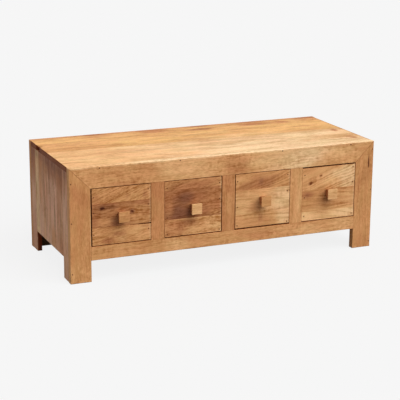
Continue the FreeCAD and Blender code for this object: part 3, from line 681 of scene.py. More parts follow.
class Board:
    """One board on a plane: its outer face, rounded edges, sides and inner face.

    The corners are places on the plane: low left, low right, high right, high left. The label seeds the
    board's place in its tree, and a shape moves its points.
    """

    def __init__(self, shell, plane, corners, edges, look, label, is_upright, shape=None):
        self.shell, self.plane, self.edges, self.look = shell, plane, edges, look
        self.is_upright, self.shape = is_upright, shape
        self.corners = [Vector(corner) for corner in corners]
        low_left, low_right, high_right, high_left = self.corners
        self.width = max((low_right - low_left).length, (high_right - high_left).length)
        self.height = max((high_left - low_left).length, (high_right - low_right).length)
        self.columns, self.rows = stops(self.width), stops(self.height)
        self.last_column, self.last_row = len(self.columns) - 1, len(self.rows) - 1
        self.lean = math.tan(math.radians(look.slope_deg))
        chance = random.Random(label)
        middle = (low_left + low_right + high_right + high_left) / len(self.corners)
        self.shift = Vector((
            chance.uniform(0, GRAIN_SPREAD),
            chance.uniform(-PITH_SHIFT, PITH_SHIFT) - self.along_and_across(middle)[1],
            chance.uniform(*PITH_DEPTH),
        ))
        self.knots = [NO_KNOT, NO_KNOT]
        for i, knot in enumerate(look.knots):
            place = self.grain_at(self.flat_at(*knot.place_shares), 0)
            self.knots[i] = Vector((place[0], place[1], knot.radius))

    def along_and_across(self, flat):
        """A place on the plane as its ways along the board and across it."""
        return (flat[1], flat[0]) if self.is_upright else (flat[0], flat[1])

    def grain_at(self, flat, proud):
        along, across = self.along_and_across(flat)
        return Vector((along, across - self.lean * along, proud)) + self.shift

    def flat_at(self, share_right, share_up):
        low_left, low_right, high_right, high_left = self.corners
        low = low_left.lerp(low_right, share_right)
        high = high_left.lerp(high_right, share_right)
        return low.lerp(high, share_up)

    def tone_at(self, shares, flat):
        """Tone of the board at a point, with its patches laid over each other in turn."""
        colour = tone_of(self.look.tone)
        stretch = (1, MARK_ALONG_SHARE) if self.is_upright else (MARK_ALONG_SHARE, 1)
        for mark in self.look.marks:
            across, rise = (
                (share - place) / reach
                for share, place, reach in zip(shares, mark.place_shares, mark.reach_shares)
            )
            cell = Vector((flat[0] * stretch[0], flat[1] * stretch[1], mark.place_shares[0]))
            ragged = noise.noise(cell * MARK_RAGGED_SCALE)
            away = math.hypot(across, rise) * (1 + MARK_RAGGED_SHARE * ragged)
            cover = smooth((MARK_RIM_SHARE - away) / (MARK_RIM_SHARE - MARK_CORE_SHARE))
            colour = colour.lerp(tone_of(mark.tone), cover * mark.strength_share)
        return colour

    def put(self, share_right, share_up, proud, wear_and_painted_light_share=1.0, painted_shade=None):
        """Add a point, in the tone of the board or in a tone of painted shade."""
        flat = self.flat_at(share_right, share_up)
        colour = tone_of(painted_shade) if painted_shade else self.tone_at((share_right, share_up), flat) * wear_and_painted_light_share
        grain = self.grain_at(flat, proud)
        if self.shape:
            flat, proud = self.shape(flat, proud)
        return self.shell.add_point(self.plane.point(*flat, proud), grain, colour, self.knots)

    def unevenness(self, i, j, scale):
        flat = self.flat_at(self.columns[i], self.rows[j])
        return noise.noise(Vector((*flat, self.shift[0])) * scale)

    def rounding(self, i, j):
        """Rounding towards the right and upwards at a point of the rim, with a sign."""
        uneven = 1 + ARRIS_UNEVEN_SHARE * self.unevenness(i, j, ARRIS_SCALE)
        across = self.edges.left if i == 0 else -self.edges.right if i == self.last_column else 0.0
        rise = self.edges.low if j == 0 else -self.edges.high if j == self.last_row else 0.0
        return across * uneven, rise * uneven

    def touches(self, i, j, names):
        touched = {"left": i == 0, "right": i == self.last_column, "low": j == 0, "high": j == self.last_row}
        return any(touched[name] for name in names)

    def is_gap_shaded(self, i, j):
        return self.rows[j] >= self.edges.gap_shade_from_share and self.touches(i, j, self.edges.gap_shaded)

    # A dark edge's whole side is painted shade.
    def deep_painted_shade(self, i, j):
        return "painted_shade" if self.touches(i, j, self.edges.dark) else None

    def face_point(self, i, j):
        across, rise = self.rounding(i, j)
        hollow = bpy.context.scene.coffee_table_sizes.hollow
        dip = hollow * (self.unevenness(i, j, HOLLOW_SCALE) - 1) / 2
        return self.put(self.columns[i] + across / self.width, self.rows[j] + rise / self.height, dip)

    def rounded_point(self, i, j, inset_share, drop_share):
        across, rise = self.rounding(i, j)
        drop = max(abs(across), abs(rise)) * drop_share
        share_right = self.columns[i] + across * inset_share / self.width
        share_up = self.rows[j] + rise * inset_share / self.height
        # The rounding is brighter, as wear with a painted highlight; its outer line takes the rim's painted
        # shade.
        is_rim_toned = self.is_gap_shaded(i, j) or self.touches(i, j, self.edges.rim_toned)
        painted_shade = "rim" if drop_share == 1 and is_rim_toned else None
        return self.put(share_right, share_up, -drop, WEAR_AND_HIGHLIGHT_SHARE, painted_shade)

    # Sides by a drawer gap, and the legs' inner edges, take painted shade.
    def side_point(self, i, j, depth):
        is_gap_shade = depth in GAP_SHADE_DEPTHS and self.is_gap_shaded(i, j)
        painted_shade = "painted_shade" if is_gap_shade else self.deep_painted_shade(i, j)
        return self.put(self.columns[i], self.rows[j], -depth, painted_shade=painted_shade)

    # The inner face is dimmed as painted shade inside the case; where the board has a dark rim, it is dimmed
    # all over.
    def inner_point(self, i, j):
        is_dim = self.edges.has_dark_rim or not self.touches(i, j, ALL_EDGES)
        wear_and_painted_light_share = self.edges.inside_share if is_dim else 1.0
        depth = self.plane.depth
        return self.put(self.columns[i], self.rows[j], -depth, wear_and_painted_light_share, self.deep_painted_shade(i, j))

    def build(self):
        places = [(i, j) for i in range(len(self.columns)) for j in range(len(self.rows))]
        face = {place: self.face_point(*place) for place in places}
        inner = {place: self.inner_point(*place) for place in places}
        for i in range(self.last_column):
            for j in range(self.last_row):
                self.shell.add_face((face[i, j], face[i + 1, j], face[i + 1, j + 1], face[i, j + 1]))
                self.shell.add_face((inner[i, j], inner[i, j + 1], inner[i + 1, j + 1], inner[i + 1, j]))

        rim = [(i, 0) for i in range(self.last_column)]
        rim += [(self.last_column, j) for j in range(self.last_row)]
        rim += [(i, self.last_row) for i in range(self.last_column, 0, -1)]
        rim += [(0, j) for j in range(self.last_row, 0, -1)]
        rings = [[face[place] for place in rim]]
        for shares in ROUNDING_SHARES:
            rings.append([self.rounded_point(*place, *shares) for place in rim])
        for depth in (*GAP_SHADE_DEPTHS, GAP_SHADE_END_DEPTH):
            rings.append([self.side_point(*place, depth) for place in rim])
        rings.append([inner[place] for place in rim])
        for outer_ring, next_ring in zip(rings, rings[1:]):
            for k, place in enumerate(rim):
                after = (k + 1) % len(rim)
                is_on_side = place[0] == rim[after][0]
                end_share = self.edges.end_share if is_on_side != self.is_upright else 0.0
                corners = (outer_ring[k], next_ring[k], next_ring[after], outer_ring[after])
                self.shell.add_face(corners, end_share)


class Wiring:
    """Adds nodes to a tree and joins them: a socket is linked, anything else is a set value."""

    def __init__(self, tree):
        self.tree = tree

    def fill(self, node, inputs):
        for key, given in inputs.items():
            if isinstance(given, bpy.types.NodeSocket):
                self.tree.links.new(given, node.inputs[key])
            else:
                node.inputs[key].default_value = given

    def add(self, kind, inputs, output=0, **settings):
        node = self.tree.nodes.new(kind)
        for key, setting in settings.items():
            setattr(node, key, setting)
        self.fill(node, inputs)
        return node.outputs[output]

    def maths(self, operation, first, second=0.0):
        return self.add("ShaderNodeMath", {0: first, 1: second}, operation=operation)

    def times(self, first, *others):
        for other in others:
            first = self.maths("MULTIPLY", first, other)
        return first

    def total(self, first, *others):
        for other in others:
            first = self.maths("ADD", first, other)
        return first

    def distance(self, first, second):
        return self.maths("SQRT", self.total(self.times(first, first), self.times(second, second)))

    def swing(self, number, reach):
        """A noise from 0 to 1, made to go as far below nought as above it, times its reach."""
        return self.times(self.maths("SUBTRACT", number, NOISE_MIDDLE), reach)

    def fade(self, number, start, end):
        """0 at start and 1 at end, smoothly."""
        inputs = {"Value": number, "From Min": start, "From Max": end}
        return self.add("ShaderNodeMapRange", inputs, interpolation_type="SMOOTHSTEP")

    def parts(self, vector):
        return self.add("ShaderNodeSeparateXYZ", {0: vector}).node.outputs

    def scaled(self, vector, scale):
        """A vector or a colour, each part times its own scale."""
        return self.add("ShaderNodeVectorMath", {0: vector, 1: scale}, operation="MULTIPLY")

    def noise(self, vector, cells, detail):
        """Noise from 0 to 1, with so many cells in a metre each way."""
        inputs = {"Vector": self.scaled(vector, cells), "Scale": 1.0, "Detail": detail}
        return self.add("ShaderNodeTexNoise", {**inputs, "Roughness": NOISE_ROUGHNESS}, "Fac")

    def mix(self, share, first, second):
        """Two colours mixed; the numbers are the colour sockets of the node."""
        return self.add("ShaderNodeMix", {0: share, 6: first, 7: second}, 2, data_type="RGBA")


NOISE_MIDDLE = 0.5
NOISE_ROUGHNESS = 0.55
GRAIN_GROUP = "mango_grain"
FIGURE_NAMES = ("streaks", "mottle", "rings", "specks", "flecks")
# What the grain group reads at each point of a board: the attribute and the output that gives it.
BOARD_ATTRIBUTES = {
    "Grain": ("grain", "Vector"),
    "Tone": ("tone", "Color"),
    "End grain": ("end_grain", "Fac"),
    "Knot": ("knot", "Vector"),
    "Second knot": ("second_knot", "Vector"),
}
GRAIN_INPUTS = {
    "Grain": "Vector",
    "Tone": "Color",
    "End grain": "Float",
    "Knot": "Vector",
    "Second knot": "Vector",
    **{name.capitalize(): "Float" for name in FIGURE_NAMES},
}
GRAIN_OUTPUTS = {"Colour": "Color", "Roughness": "Float", "Height": "Float"}

# Cells of each figure in a metre, along the grain, across it and through the board, and its detail.
WANDER = ((5.0, 12.0, 12.0), 4.0)
BROAD = ((2.6, 34.0, 34.0), 3.0)
FINE = ((9.0, 120.0, 120.0), 4.0)
MOTTLE = ((80.0, 48.0, 48.0), 3.0)
SPECK = ((60.0, 330.0, 330.0), 3.0)
FLECK = ((40.0, 200.0, 200.0), 1.0)
PATCH = ((7.0, 14.0, 14.0), 2.0)
BLUSH = ((11.0, 40.0, 40.0), 2.0)
FIBRE = ((30.0, 900.0, 900.0), 2.0)
PORE = ((120.0, 1500.0, 1500.0), 0.0)
RUST = ((900.0, 900.0, 900.0), 3.0)
# Noise at which a figure begins to show and shows fully.
PATCH_RANGE = (0.38, 0.62)
FLECK_RANGE = (0.57, 0.68)
PORE_RANGE = (0.62, 0.74)
BLUSH_RANGE = (0.3, 0.7)
# How far the grain wanders sideways; width of a year ring, its taper along the trunk and its wobble.
WANDER_REACH = 0.030
RING_WIDTH = 0.010
RING_TAPER = 0.05
RING_WOBBLE = 0.030
# A knot: stretched along the grain, it pushes the grain aside and has a ragged dark heart. The ranges are
# distances from its middle, in its radius.
KNOT_STRETCH = 0.6
KNOT_PUSH = 0.7
KNOT_RAGGED = 1.6
KNOT_PUSH_RANGE = (5.0, 0.5)
KNOT_HEART_RANGE = (1.5, 0.4)
# How far each figure moves the wood from dark grain, 0, towards light grain, 1, and where plain wood lies.
BROAD_STRENGTH = 1.3
FINE_STRENGTH = 1.2
RING_STRENGTH = 0.16
MOTTLE_STRENGTH = 1.8
SPECK_STRENGTH = 1.6
FIBRE_STRENGTH = 0.25
PLAIN_LEVEL = 0.76
# What a board's tone is multiplied by, and how far the pores cover it.
DARK_GRAIN = (0.53, 0.385, 0.22)
LIGHT_GRAIN = (1.12, 1.14, 1.18)
PALE_BLUSH = (0.983, 1.017, 1.0)
PINK_BLUSH = (1.017, 0.983, 1.0)
FLECK_TINT = (0.55, 0.42, 0.30)
KNOT_TINT = (0.34, 0.20, 0.15)
END_TINT = (0.30, 0.15, 0.085)
PORE_COVER_SHARE = 0.35
# Gloss and relief.
PLAIN_ROUGHNESS = 0.50
ROUGHNESS_SHARES = {"fibre": 0.16, "pore": 0.12}
RELIEF_SHARES = {"fine": 0.5, "fibre": 0.35, "fleck": -0.4, "pore": -0.6, "heart": -0.5}
BUMP_DISTANCE = 0.0006
BUMP_STRENGTH = 0.35


def knot_figure(wiring, along, across, ragged, knot):
    """How dark a knot is at a point, and how far it pushes the grain aside there."""
    knot_along, knot_across, radius = wiring.parts(knot)
    run = wiring.times(wiring.maths("SUBTRACT", along, knot_along), KNOT_STRETCH)
    rise = wiring.maths("SUBTRACT", across, knot_across)
    away = wiring.maths("DIVIDE", wiring.distance(run, rise), radius)
    push = wiring.times(rise, wiring.fade(away, *KNOT_PUSH_RANGE), KNOT_PUSH)
    return wiring.fade(wiring.total(away, ragged), *KNOT_HEART_RANGE), push


def grain_figures(wiring, given):
    """The figures of the grain at a point of a board, where it is bent by its wandering and by knots."""
    grain = given["Grain"]
    along, across, through = wiring.parts(grain)
    wander = wiring.swing(wiring.noise(grain, *WANDER), WANDER_REACH)
    speck = wiring.noise(grain, *SPECK)
    ragged = wiring.swing(speck, KNOT_RAGGED)
    heart, push = knot_figure(wiring, along, across, ragged, given["Knot"])
    second_heart, second_push = knot_figure(wiring, along, across, ragged, given["Second knot"])
    bent = wiring.maths("SUBTRACT", wiring.total(across, wander), wiring.total(push, second_push))
    bent_grain = wiring.add("ShaderNodeCombineXYZ", {0: along, 1: bent, 2: through})
    broad = wiring.noise(bent_grain, *BROAD)
    patch = wiring.fade(wiring.noise(grain, *PATCH), *PATCH_RANGE)
    radius = wiring.distance(bent, through)
    ring_place = wiring.total(radius, wiring.times(along, RING_TAPER), wiring.swing(broad, RING_WOBBLE))
    ring = wiring.maths("SINE", wiring.times(ring_place, 2 * math.pi / RING_WIDTH))
    fleck = wiring.fade(wiring.noise(bent_grain, *FLECK), *FLECK_RANGE)
    return {
        "broad": broad,
        "fine": wiring.noise(bent_grain, *FINE),
        "ring": wiring.times(ring, patch),
        "mottle": wiring.noise(bent_grain, *MOTTLE),
        "patch": patch,
        "speck": speck,
        "fibre": wiring.noise(bent_grain, *FIBRE),
        "blush": wiring.fade(wiring.noise(bent_grain, *BLUSH), *BLUSH_RANGE),
        "fleck": wiring.times(fleck, given["Flecks"]),
        "pore": wiring.fade(wiring.noise(bent_grain, *PORE), *PORE_RANGE),
        "heart": wiring.maths("MAXIMUM", heart, second_heart),
    }


def grain_colour(wiring, given, figures):
    """A board's tone, darker and lighter with its grain, then dark in flecks, pores, knots and ends."""
    mottle = wiring.times(wiring.swing(figures["mottle"], MOTTLE_STRENGTH), figures["patch"])
    level = wiring.total(
        wiring.times(wiring.swing(figures["broad"], BROAD_STRENGTH), given["Streaks"]),
        wiring.times(wiring.swing(figures["fine"], FINE_STRENGTH), given["Streaks"]),
        wiring.times(figures["ring"], RING_STRENGTH, given["Rings"]),
        wiring.times(mottle, given["Mottle"]),
        wiring.times(wiring.swing(figures["speck"], SPECK_STRENGTH), given["Specks"]),
        wiring.swing(figures["fibre"], FIBRE_STRENGTH),
        PLAIN_LEVEL,
    )
    level = wiring.add("ShaderNodeClamp", {"Value": level})
    dark, light = (wiring.scaled(given["Tone"], tint) for tint in (DARK_GRAIN, LIGHT_GRAIN))
    blush = wiring.mix(figures["blush"], opaque(PALE_BLUSH), opaque(PINK_BLUSH))
    colour = wiring.scaled(wiring.mix(level, dark, light), blush)
    for cover, tint in (
        (figures["fleck"], FLECK_TINT),
        (wiring.times(figures["pore"], PORE_COVER_SHARE), DARK_GRAIN),
        (figures["heart"], KNOT_TINT),
        (given["End grain"], END_TINT),
    ):
        colour = wiring.mix(cover, colour, wiring.scaled(colour, tint))
    return colour


def mango_grain():
    """Node group that turns a place in a board into the colour, gloss and relief of mango wood."""
    group = bpy.data.node_groups.new(GRAIN_GROUP, "ShaderNodeTree")
    for direction, sockets in (("INPUT", GRAIN_INPUTS), ("OUTPUT", GRAIN_OUTPUTS)):
        for name, kind in sockets.items():
            group.interface.new_socket(name, in_out=direction, socket_type=f"NodeSocket{kind}")
    wiring = Wiring(group)
    given = group.nodes.new("NodeGroupInput").outputs
    figures = grain_figures(wiring, given)
    roughness = wiring.total(
        *(wiring.times(figures[name], share) for name, share in ROUGHNESS_SHARES.items()), PLAIN_ROUGHNESS
    )
    relief = wiring.total(*(wiring.times(figures[name], share) for name, share in RELIEF_SHARES.items()))
    colour = grain_colour(wiring, given, figures)
    made = {"Colour": colour, "Roughness": roughness, "Height": relief}
    wiring.fill(group.nodes.new("NodeGroupOutput"), made)
    return group


def new_material(name):
    material = bpy.data.materials.new(name)
    material.use_nodes = True
    return material, Wiring(material.node_tree)


def finish_surface(wiring, colour, roughness, height, sheen):
    """Join a material's shader to its colour, gloss and relief."""
    bump = {"Strength": BUMP_STRENGTH, "Distance": BUMP_DISTANCE, "Height": height}
    wiring.fill(wiring.tree.nodes["Principled BSDF"], {
        "Base Color": colour,
        "Roughness": roughness,
        "Specular IOR Level": sheen,
        "Normal": wiring.add("ShaderNodeBump", bump),
    })


@dataclass(frozen=True)
class Figure:
    """How strongly each figure of the grain and the wax show, and how wide the grain is across a board."""
    streaks: float
    mottle: float
    rings: float
    specks: float
    flecks: float
    sheen: float
    spread: float = 1.0


def finish_wood(wiring, figure, inputs):
    """Give a material the grain of mango wood, as strong as the figure says."""
    group = bpy.data.node_groups.get(GRAIN_GROUP) or mango_grain()
    strengths = {name.capitalize(): getattr(figure, name) for name in FIGURE_NAMES}
    drawn = {"Grain": wiring.scaled(inputs["Grain"], (1.0, 1 / figure.spread, 1.0))}
    colour = wiring.add("ShaderNodeGroup", {**inputs, **drawn, **strengths}, "Colour", node_tree=group)
    made = colour.node.outputs
    finish_surface(wiring, colour, made["Roughness"], made["Height"], figure.sheen)


def board_wood(name, figure):
    """Finished boards: tone and grain come from each point of the mesh."""
    if name in bpy.data.materials:
        return bpy.data.materials[name]
    material, wiring = new_material(name)
    read = {}
    for socket, (attribute, output) in BOARD_ATTRIBUTES.items():
        read[socket] = wiring.add("ShaderNodeAttribute", {}, output, attribute_name=attribute)
    finish_wood(wiring, figure, read)
    return material


def top_wood():
    figure = Figure(streaks=1.2, mottle=0.2, rings=0.6, specks=0.5, flecks=0.10, sheen=0.07, spread=2.4)
    return board_wood("top_boards", figure)


def side_wood(hand):
    figures = {
        "left": Figure(streaks=2.0, mottle=0.5, rings=0.6, specks=0.6, flecks=0.12, sheen=0.12, spread=2.0),
        "right": Figure(streaks=1.5, mottle=0.5, rings=0.4, specks=0.7, flecks=0.15, sheen=0.10, spread=1.4),
    }
    return board_wood(f"{hand}_side_boards", figures[hand])


def post_wood():
    figure = Figure(streaks=0.65, mottle=0.6, rings=0.5, specks=0.7, flecks=0.06, sheen=0.07)
    return board_wood("post_boards", figure)


def rail_wood():
    figure = Figure(streaks=0.7, mottle=0.8, rings=0.7, specks=0.9, flecks=0.08, sheen=0.07)
    return board_wood("rail_boards", figure)


def front_wood(bay):
    figures = (
        Figure(streaks=1.2, mottle=0.9, rings=1.4, specks=1.3, flecks=0.22, sheen=0.07),
        Figure(streaks=1.3, mottle=0.8, rings=1.0, specks=1.5, flecks=0.26, sheen=0.07),
        Figure(streaks=1.0, mottle=0.7, rings=1.6, specks=0.5, flecks=0.04, sheen=0.07),
        Figure(streaks=0.9, mottle=0.7, rings=1.5, specks=0.4, flecks=0.05, sheen=0.07),
    )
    return board_wood(f"drawer_front_boards_{bay + 1}", figures[bay])


def knob_wood():
    figure = Figure(streaks=0.7, mottle=0.3, rings=0.4, specks=0.6, flecks=0.10, sheen=0.10)
    return board_wood("knob_blocks", figure)


# Which of x, y and z runs along the grain, across it and through the board.
GRAIN_ORDERS = {"lengthwise": (0, 2, 1), "crosswise": (1, 2, 0), "flat": (0, 1, 2)}
INNER_SHADE_SHARE = 0.8


def inner_wood(order, tone_name):
    """Plain boards inside the table: the grain follows the piece's own axes."""
    name = f"{tone_name}_boards_{order}"
    if name in bpy.data.materials:
        return bpy.data.materials[name]
    material, wiring = new_material(name)
    place = wiring.add("ShaderNodeTexCoord", {}, "Object")
    parts = wiring.parts(place)
    ordered = {i: parts[axis] for i, axis in enumerate(GRAIN_ORDERS[order])}
    plain = tone_of(tone_name)
    figure = Figure(streaks=0.6, mottle=0.5, rings=0.5, specks=0.6, flecks=0.2, sheen=0.06)
    finish_wood(wiring, figure, {
        "Grain": wiring.add("ShaderNodeCombineXYZ", ordered),
        "Tone": wiring.mix(wiring.noise(place, *PATCH), opaque(plain, INNER_SHADE_SHARE), opaque(plain)),
        "Knot": NO_KNOT,
        "Second knot": NO_KNOT,
    })
    return material


# Rust: its light spots, as a share of the filler's tone, and how much rougher it is than the filler.
RUST_LIGHT_SHARE = 2.2
RUST_ROUGHNESS = 0.3
FILLER_ROUGHNESS = 0.45
FILLER_SHEEN = 0.08


def dark_filler():
    """Iron nail heads and the dark filler of cracks."""
    name = "iron_and_filler"
    if name in bpy.data.materials:
        return bpy.data.materials[name]
    material, wiring = new_material(name)
    rust = wiring.noise(wiring.add("ShaderNodeTexCoord", {}, "Object"), *RUST)
    filler = tone_of("filler")
    colour = wiring.mix(rust, opaque(filler), opaque(filler, RUST_LIGHT_SHARE))
    roughness = wiring.total(wiring.times(rust, RUST_ROUGHNESS), FILLER_ROUGHNESS)
    finish_surface(wiring, colour, roughness, rust, FILLER_SHEEN)
    return material


def chip_shape(low, high):
    """Moves the points of a plank's left end inwards and down where it is chipped."""
    depth = bpy.context.scene.coffee_table_sizes.chip_depth
    start, end = (low + share * (high - low) for share in CHIP_SHARES)

    def shape(flat, proud):
        share = min(1.0, max(0.0, (flat[1] - start) / (end - start)))
        reach = math.sin(math.pi * share) * max(0.0, 1 - flat[0] / CHIP_LENGTH)
        ragged = 1 + ARRIS_UNEVEN_SHARE * noise.noise(Vector((*flat, depth)) * CHIP_SCALE)
        bite = reach * depth * ragged
        return Vector((flat[0] + bite, flat[1])), proud - bite * (proud > -depth)

    return shape


class CoffeeTableTop(bpy.types.Operator):
    """Lay the planks of the top, with the chip in its left end"""
    bl_idname = "coffee_table.lay_top"
    bl_label = "Top planks"

    def execute(self, context):
        sizes = context.scene.coffee_table_sizes
        plane = outer_face("top_panel", "top")
        edges = Edges(sizes.arris, sizes.arris, sizes.seam, sizes.seam, rim_toned=("left",))
        shell = Shell()
        for i, (start, share) in enumerate(running(TOP_PLANK_SHARES)):
            low, high = start * plane.height, (start + share) * plane.height
            shape = chip_shape(low, high) if i == CHIPPED_PLANK else None
            corners = rectangle(0, low, plane.width, high)
            look = TOP_LOOKS[i].with_mark(TOP_END_MARK)
            Board(shell, plane, corners, edges, look, f"top_{i}", is_upright=False, shape=shape).build()
        place_piece(shell.make("top_planks", top_wood()), "case", "top_wood", "top_panel")
        return {"FINISHED"}


class CoffeeTableSides(bpy.types.Operator):
    """Join the upright boards of the two side panels, the outer ones running down as legs"""
    bl_idname = "coffee_table.join_sides"
    bl_label = "Side panels"

    def execute(self, context):
        for hand in SIDE_LOOKS:
            self.join_side(context.scene.coffee_table_sizes, hand)
        return {"FINISHED"}

    def join_side(self, sizes, hand):
        node = f"{hand}_side_panel"
        plane = outer_face(node, hand)
        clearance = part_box("front_bottom_rail")[0].z
        inner_width = plane.width - 2 * LEG_BOARD_WIDTH
        bands = [(0.0, LEG_BOARD_WIDTH, 0.0)]
        for start, share in running(SIDE_BOARD_SHARES):
            near = LEG_BOARD_WIDTH + start * inner_width
            bands.append((near, near + share * inner_width, clearance))
        bands.append((plane.width - LEG_BOARD_WIDTH, plane.width, 0.0))
        # The inner edges of the legs are dark all through: painted shade of the space under the table.
        leg_insides = {0: (hand,), len(bands) - 1: (OTHER_HAND[hand],)}
        edges = Edges(sizes.seam, sizes.seam, sizes.arris, sizes.seam, has_dark_rim=True)
        shell = Shell()
        for i, ((near, far, low), look) in enumerate(zip(bands, SIDE_LOOKS[hand])):
            left, right = (near, far) if hand == "right" else (plane.width - far, plane.width - near)
            corners = rectangle(left, low, right, plane.height)
            own_edges = replace(edges, dark=leg_insides.get(i, ()))
            look = look.with_mark(SIDE_TOP_SHADE_MARK)
            Board(shell, plane, corners, own_edges, look, f"{hand}_{i}", is_upright=True).build()
        place_piece(shell.make(f"{hand}_side_boards", side_wood(hand)), "case", "side_wood", node)


class CoffeeTableFrames(bpy.types.Operator):
    """Build the front and back frames: mitred posts and top rails, bottom rails and mullions"""
    bl_idname = "coffee_table.build_frames"
    bl_label = "Face frames"

    def execute(self, context):
        sizes = context.scene.coffee_table_sizes
        for face in FACES:
            for hand in OTHER_HAND:
                self.stand_post(sizes, face, hand)
            self.lay_top_rail(sizes, face)
            self.lay_bottom_rail(sizes, face)
            self.stand_mullions(sizes, face)
        return {"FINISHED"}

    def add_piece(self, node, plane, corners, edges, wood, is_upright):
        shell = Shell()
        Board(shell, plane, corners, edges, FRAME_LOOKS[node], node, is_upright).build()
        place_piece(shell.make(f"{node}_board", wood), "case", "frame_wood", node)

    def stand_post(self, sizes, face, hand):
        node = f"{face}_{hand}_post"
        plane = outer_face(node, face)
        mitre = plane.height - plane.width
        high_right, high_left = (mitre, plane.height) if hand == "left" else (plane.height, mitre)
        corners = ((0, 0), (plane.width, 0), (plane.width, high_right), (0, high_left))
        inside = OTHER_HAND[hand]
        sill_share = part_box(f"{face}_bottom_rail")[1].z / plane.height
        edges = Edges(sizes.arris, sizes.arris, sizes.arris, sizes.mitre, (inside,))
        edges = replace(edges, **{inside: sizes.front_edge}, gap_shade_from_share=sill_share)
        self.add_piece(node, plane, corners, edges, post_wood(), is_upright=True)

    def lay_top_rail(self, sizes, face):
        node = f"{face}_top_rail"
        plane = outer_face(node, face)
        mitre = plane.height
        corners = ((mitre, 0), (plane.width - mitre, 0), (plane.width, plane.height), (0, plane.height))
        edges = Edges(sizes.mitre, sizes.mitre, sizes.front_edge, sizes.arris, ("low",))
        self.add_piece(node, plane, corners, edges, rail_wood(), is_upright=False)

    def lay_bottom_rail(self, sizes, face):
        node = f"{face}_bottom_rail"
        plane = outer_face(node, face)
        corners = rectangle(RAIL_TENON, 0, plane.width - RAIL_TENON, plane.height)
        edges = Edges(sizes.seam, sizes.seam, sizes.arris, sizes.front_edge, ("high",))
        self.add_piece(node, plane, corners, edges, rail_wood(), is_upright=False)

    def stand_mullions(self, sizes, face):
        node = f"{face}_mullions"
        plane = outer_face(node, face)
        looks = FRAME_LOOKS[node]
        pitch = (plane.width - MULLION_WIDTH) / (len(looks) - 1)
        edges = Edges(sizes.front_edge, sizes.front_edge, sizes.seam, sizes.seam, ("left", "right"))
        shell = Shell()
        for i, look in enumerate(looks):
            left = i * pitch
            corners = rectangle(left, MULLION_TENON, left + MULLION_WIDTH, plane.height - MULLION_TENON)
            Board(shell, plane, corners, edges, look, f"{node}_{i}", is_upright=True).build()
        place_piece(shell.make(f"{node}_boards", post_wood()), "case", "frame_wood", node)


def open_joint_shape(width, low, high):
    """Draws the upper edge of a board down towards its right end, where the joint has opened."""
    gap = bpy.context.scene.coffee_table_sizes.open_joint

    def shape(flat, proud):
        run = smooth((flat[0] / width - OPEN_FROM_SHARE) / (1 - OPEN_FROM_SHARE))
        near = ((flat[1] - low) / (high - low)) ** OPEN_POWER
        return Vector((flat[0], flat[1] - gap * run * near)), proud

    return shape


class CoffeeTableFronts(bpy.types.Operator):
    """Glue up the drawer fronts, each from three boards"""
    bl_idname = "coffee_table.glue_fronts"
    bl_label = "Drawer fronts"

    def execute(self, context):
        for face, bay, drawer in drawers():
            self.glue_front(context.scene.coffee_table_sizes, face, bay, drawer)
        return {"FINISHED"}

    def glue_front(self, sizes, face, bay, drawer):
        node = f"{drawer}_front"
        plane = outer_face(node, face)
        left, right, under, over = FRONT_TRIMS[bay]
        shares = DRAWER_BOARD_SHARES[face][bay]
        shell = Shell()
        for i, (start, share) in enumerate(running(shares)):
            low, high = start * plane.height, (start + share) * plane.height
            is_lowest, is_highest = i == 0, i == len(shares) - 1
            edges = Edges(
                sizes.front_edge,
                sizes.front_edge,
                sizes.front_edge if is_lowest else sizes.seam,
                sizes.front_edge if is_highest else sizes.seam,
                gap_shaded=ALL_EDGES,
                inside_share=DRAWER_INSIDE_SHARE,
                end_share=FRONT_END_SHARE,
            )
            is_open = (drawer, i) == OPEN_JOINT
            shape = open_joint_shape(plane.width, low, high) if is_open else None
            corners = rectangle(
                left,
                low + under if is_lowest else low,
                plane.width - right,
                high - over if is_highest else high,
            )
            look = DRAWER_LOOKS[drawer][i].with_mark(FRONT_END_HIGHLIGHT_MARK)
            Board(shell, plane, corners, edges, look, f"{node}_{i}", is_upright=False, shape=shape).build()
        place_piece(shell.make(f"{drawer}_face", front_wood(bay)), drawer, "drawer_front_wood", node)


def square_ring(plane, proud, half):
    """Points round a square in the middle of a plane, with its corners eased."""
    eased = half - min(KNOB_CORNER, half / 2)
    ring = []
    for turn in range(KNOB_SIDES):
        angle = turn * 2 * math.pi / KNOB_SIDES
        for i in range(KNOB_SIDE_POINTS + 1):
            x, y = half, eased * (2 * i / KNOB_SIDE_POINTS - 1)
            across = x * math.cos(angle) - y * math.sin(angle)
            rise = x * math.sin(angle) + y * math.cos(angle)
            ring.append(plane.point(plane.width / 2 + across, plane.height / 2 + rise, proud))
    return ring


class CoffeeTableKnobs(bpy.types.Operator):
    """Set a square knob, narrower at its foot, in each drawer front"""
    bl_idname = "coffee_table.set_knobs"
    bl_label = "Knobs"

    def execute(self, context):
        for face, bay, drawer in drawers():
            plane = outer_face(f"{drawer}_front", face)
            # A knob's sides are umber as painted shade, lightening towards its face.
            face_tone, knob_side_shade = tone_of(KNOB_TONES[face][bay]), tone_of("umber")
            rings, colours = [], []
            for share, drawn_in in KNOB_RINGS:
                half = (KNOB_BASE + min(1.0, share) * (KNOB_FACE - KNOB_BASE)) / 2 - drawn_in
                rings.append(square_ring(plane, share * KNOB_PROJECTION, half))
                light_share = smooth((share - KNOB_SHADE_SHARE) / (1 - KNOB_SHADE_SHARE))
                colours.append(knob_side_shade.lerp(face_tone, light_share))
            shell = Shell()
            shell.add_rings(rings, colours, (plane.right, plane.up, plane.out))
            piece = shell.make(f"{drawer}_pull", knob_wood())
            place_piece(piece, drawer, "knob_wood", f"{drawer}_knob")
        return {"FINISHED"}


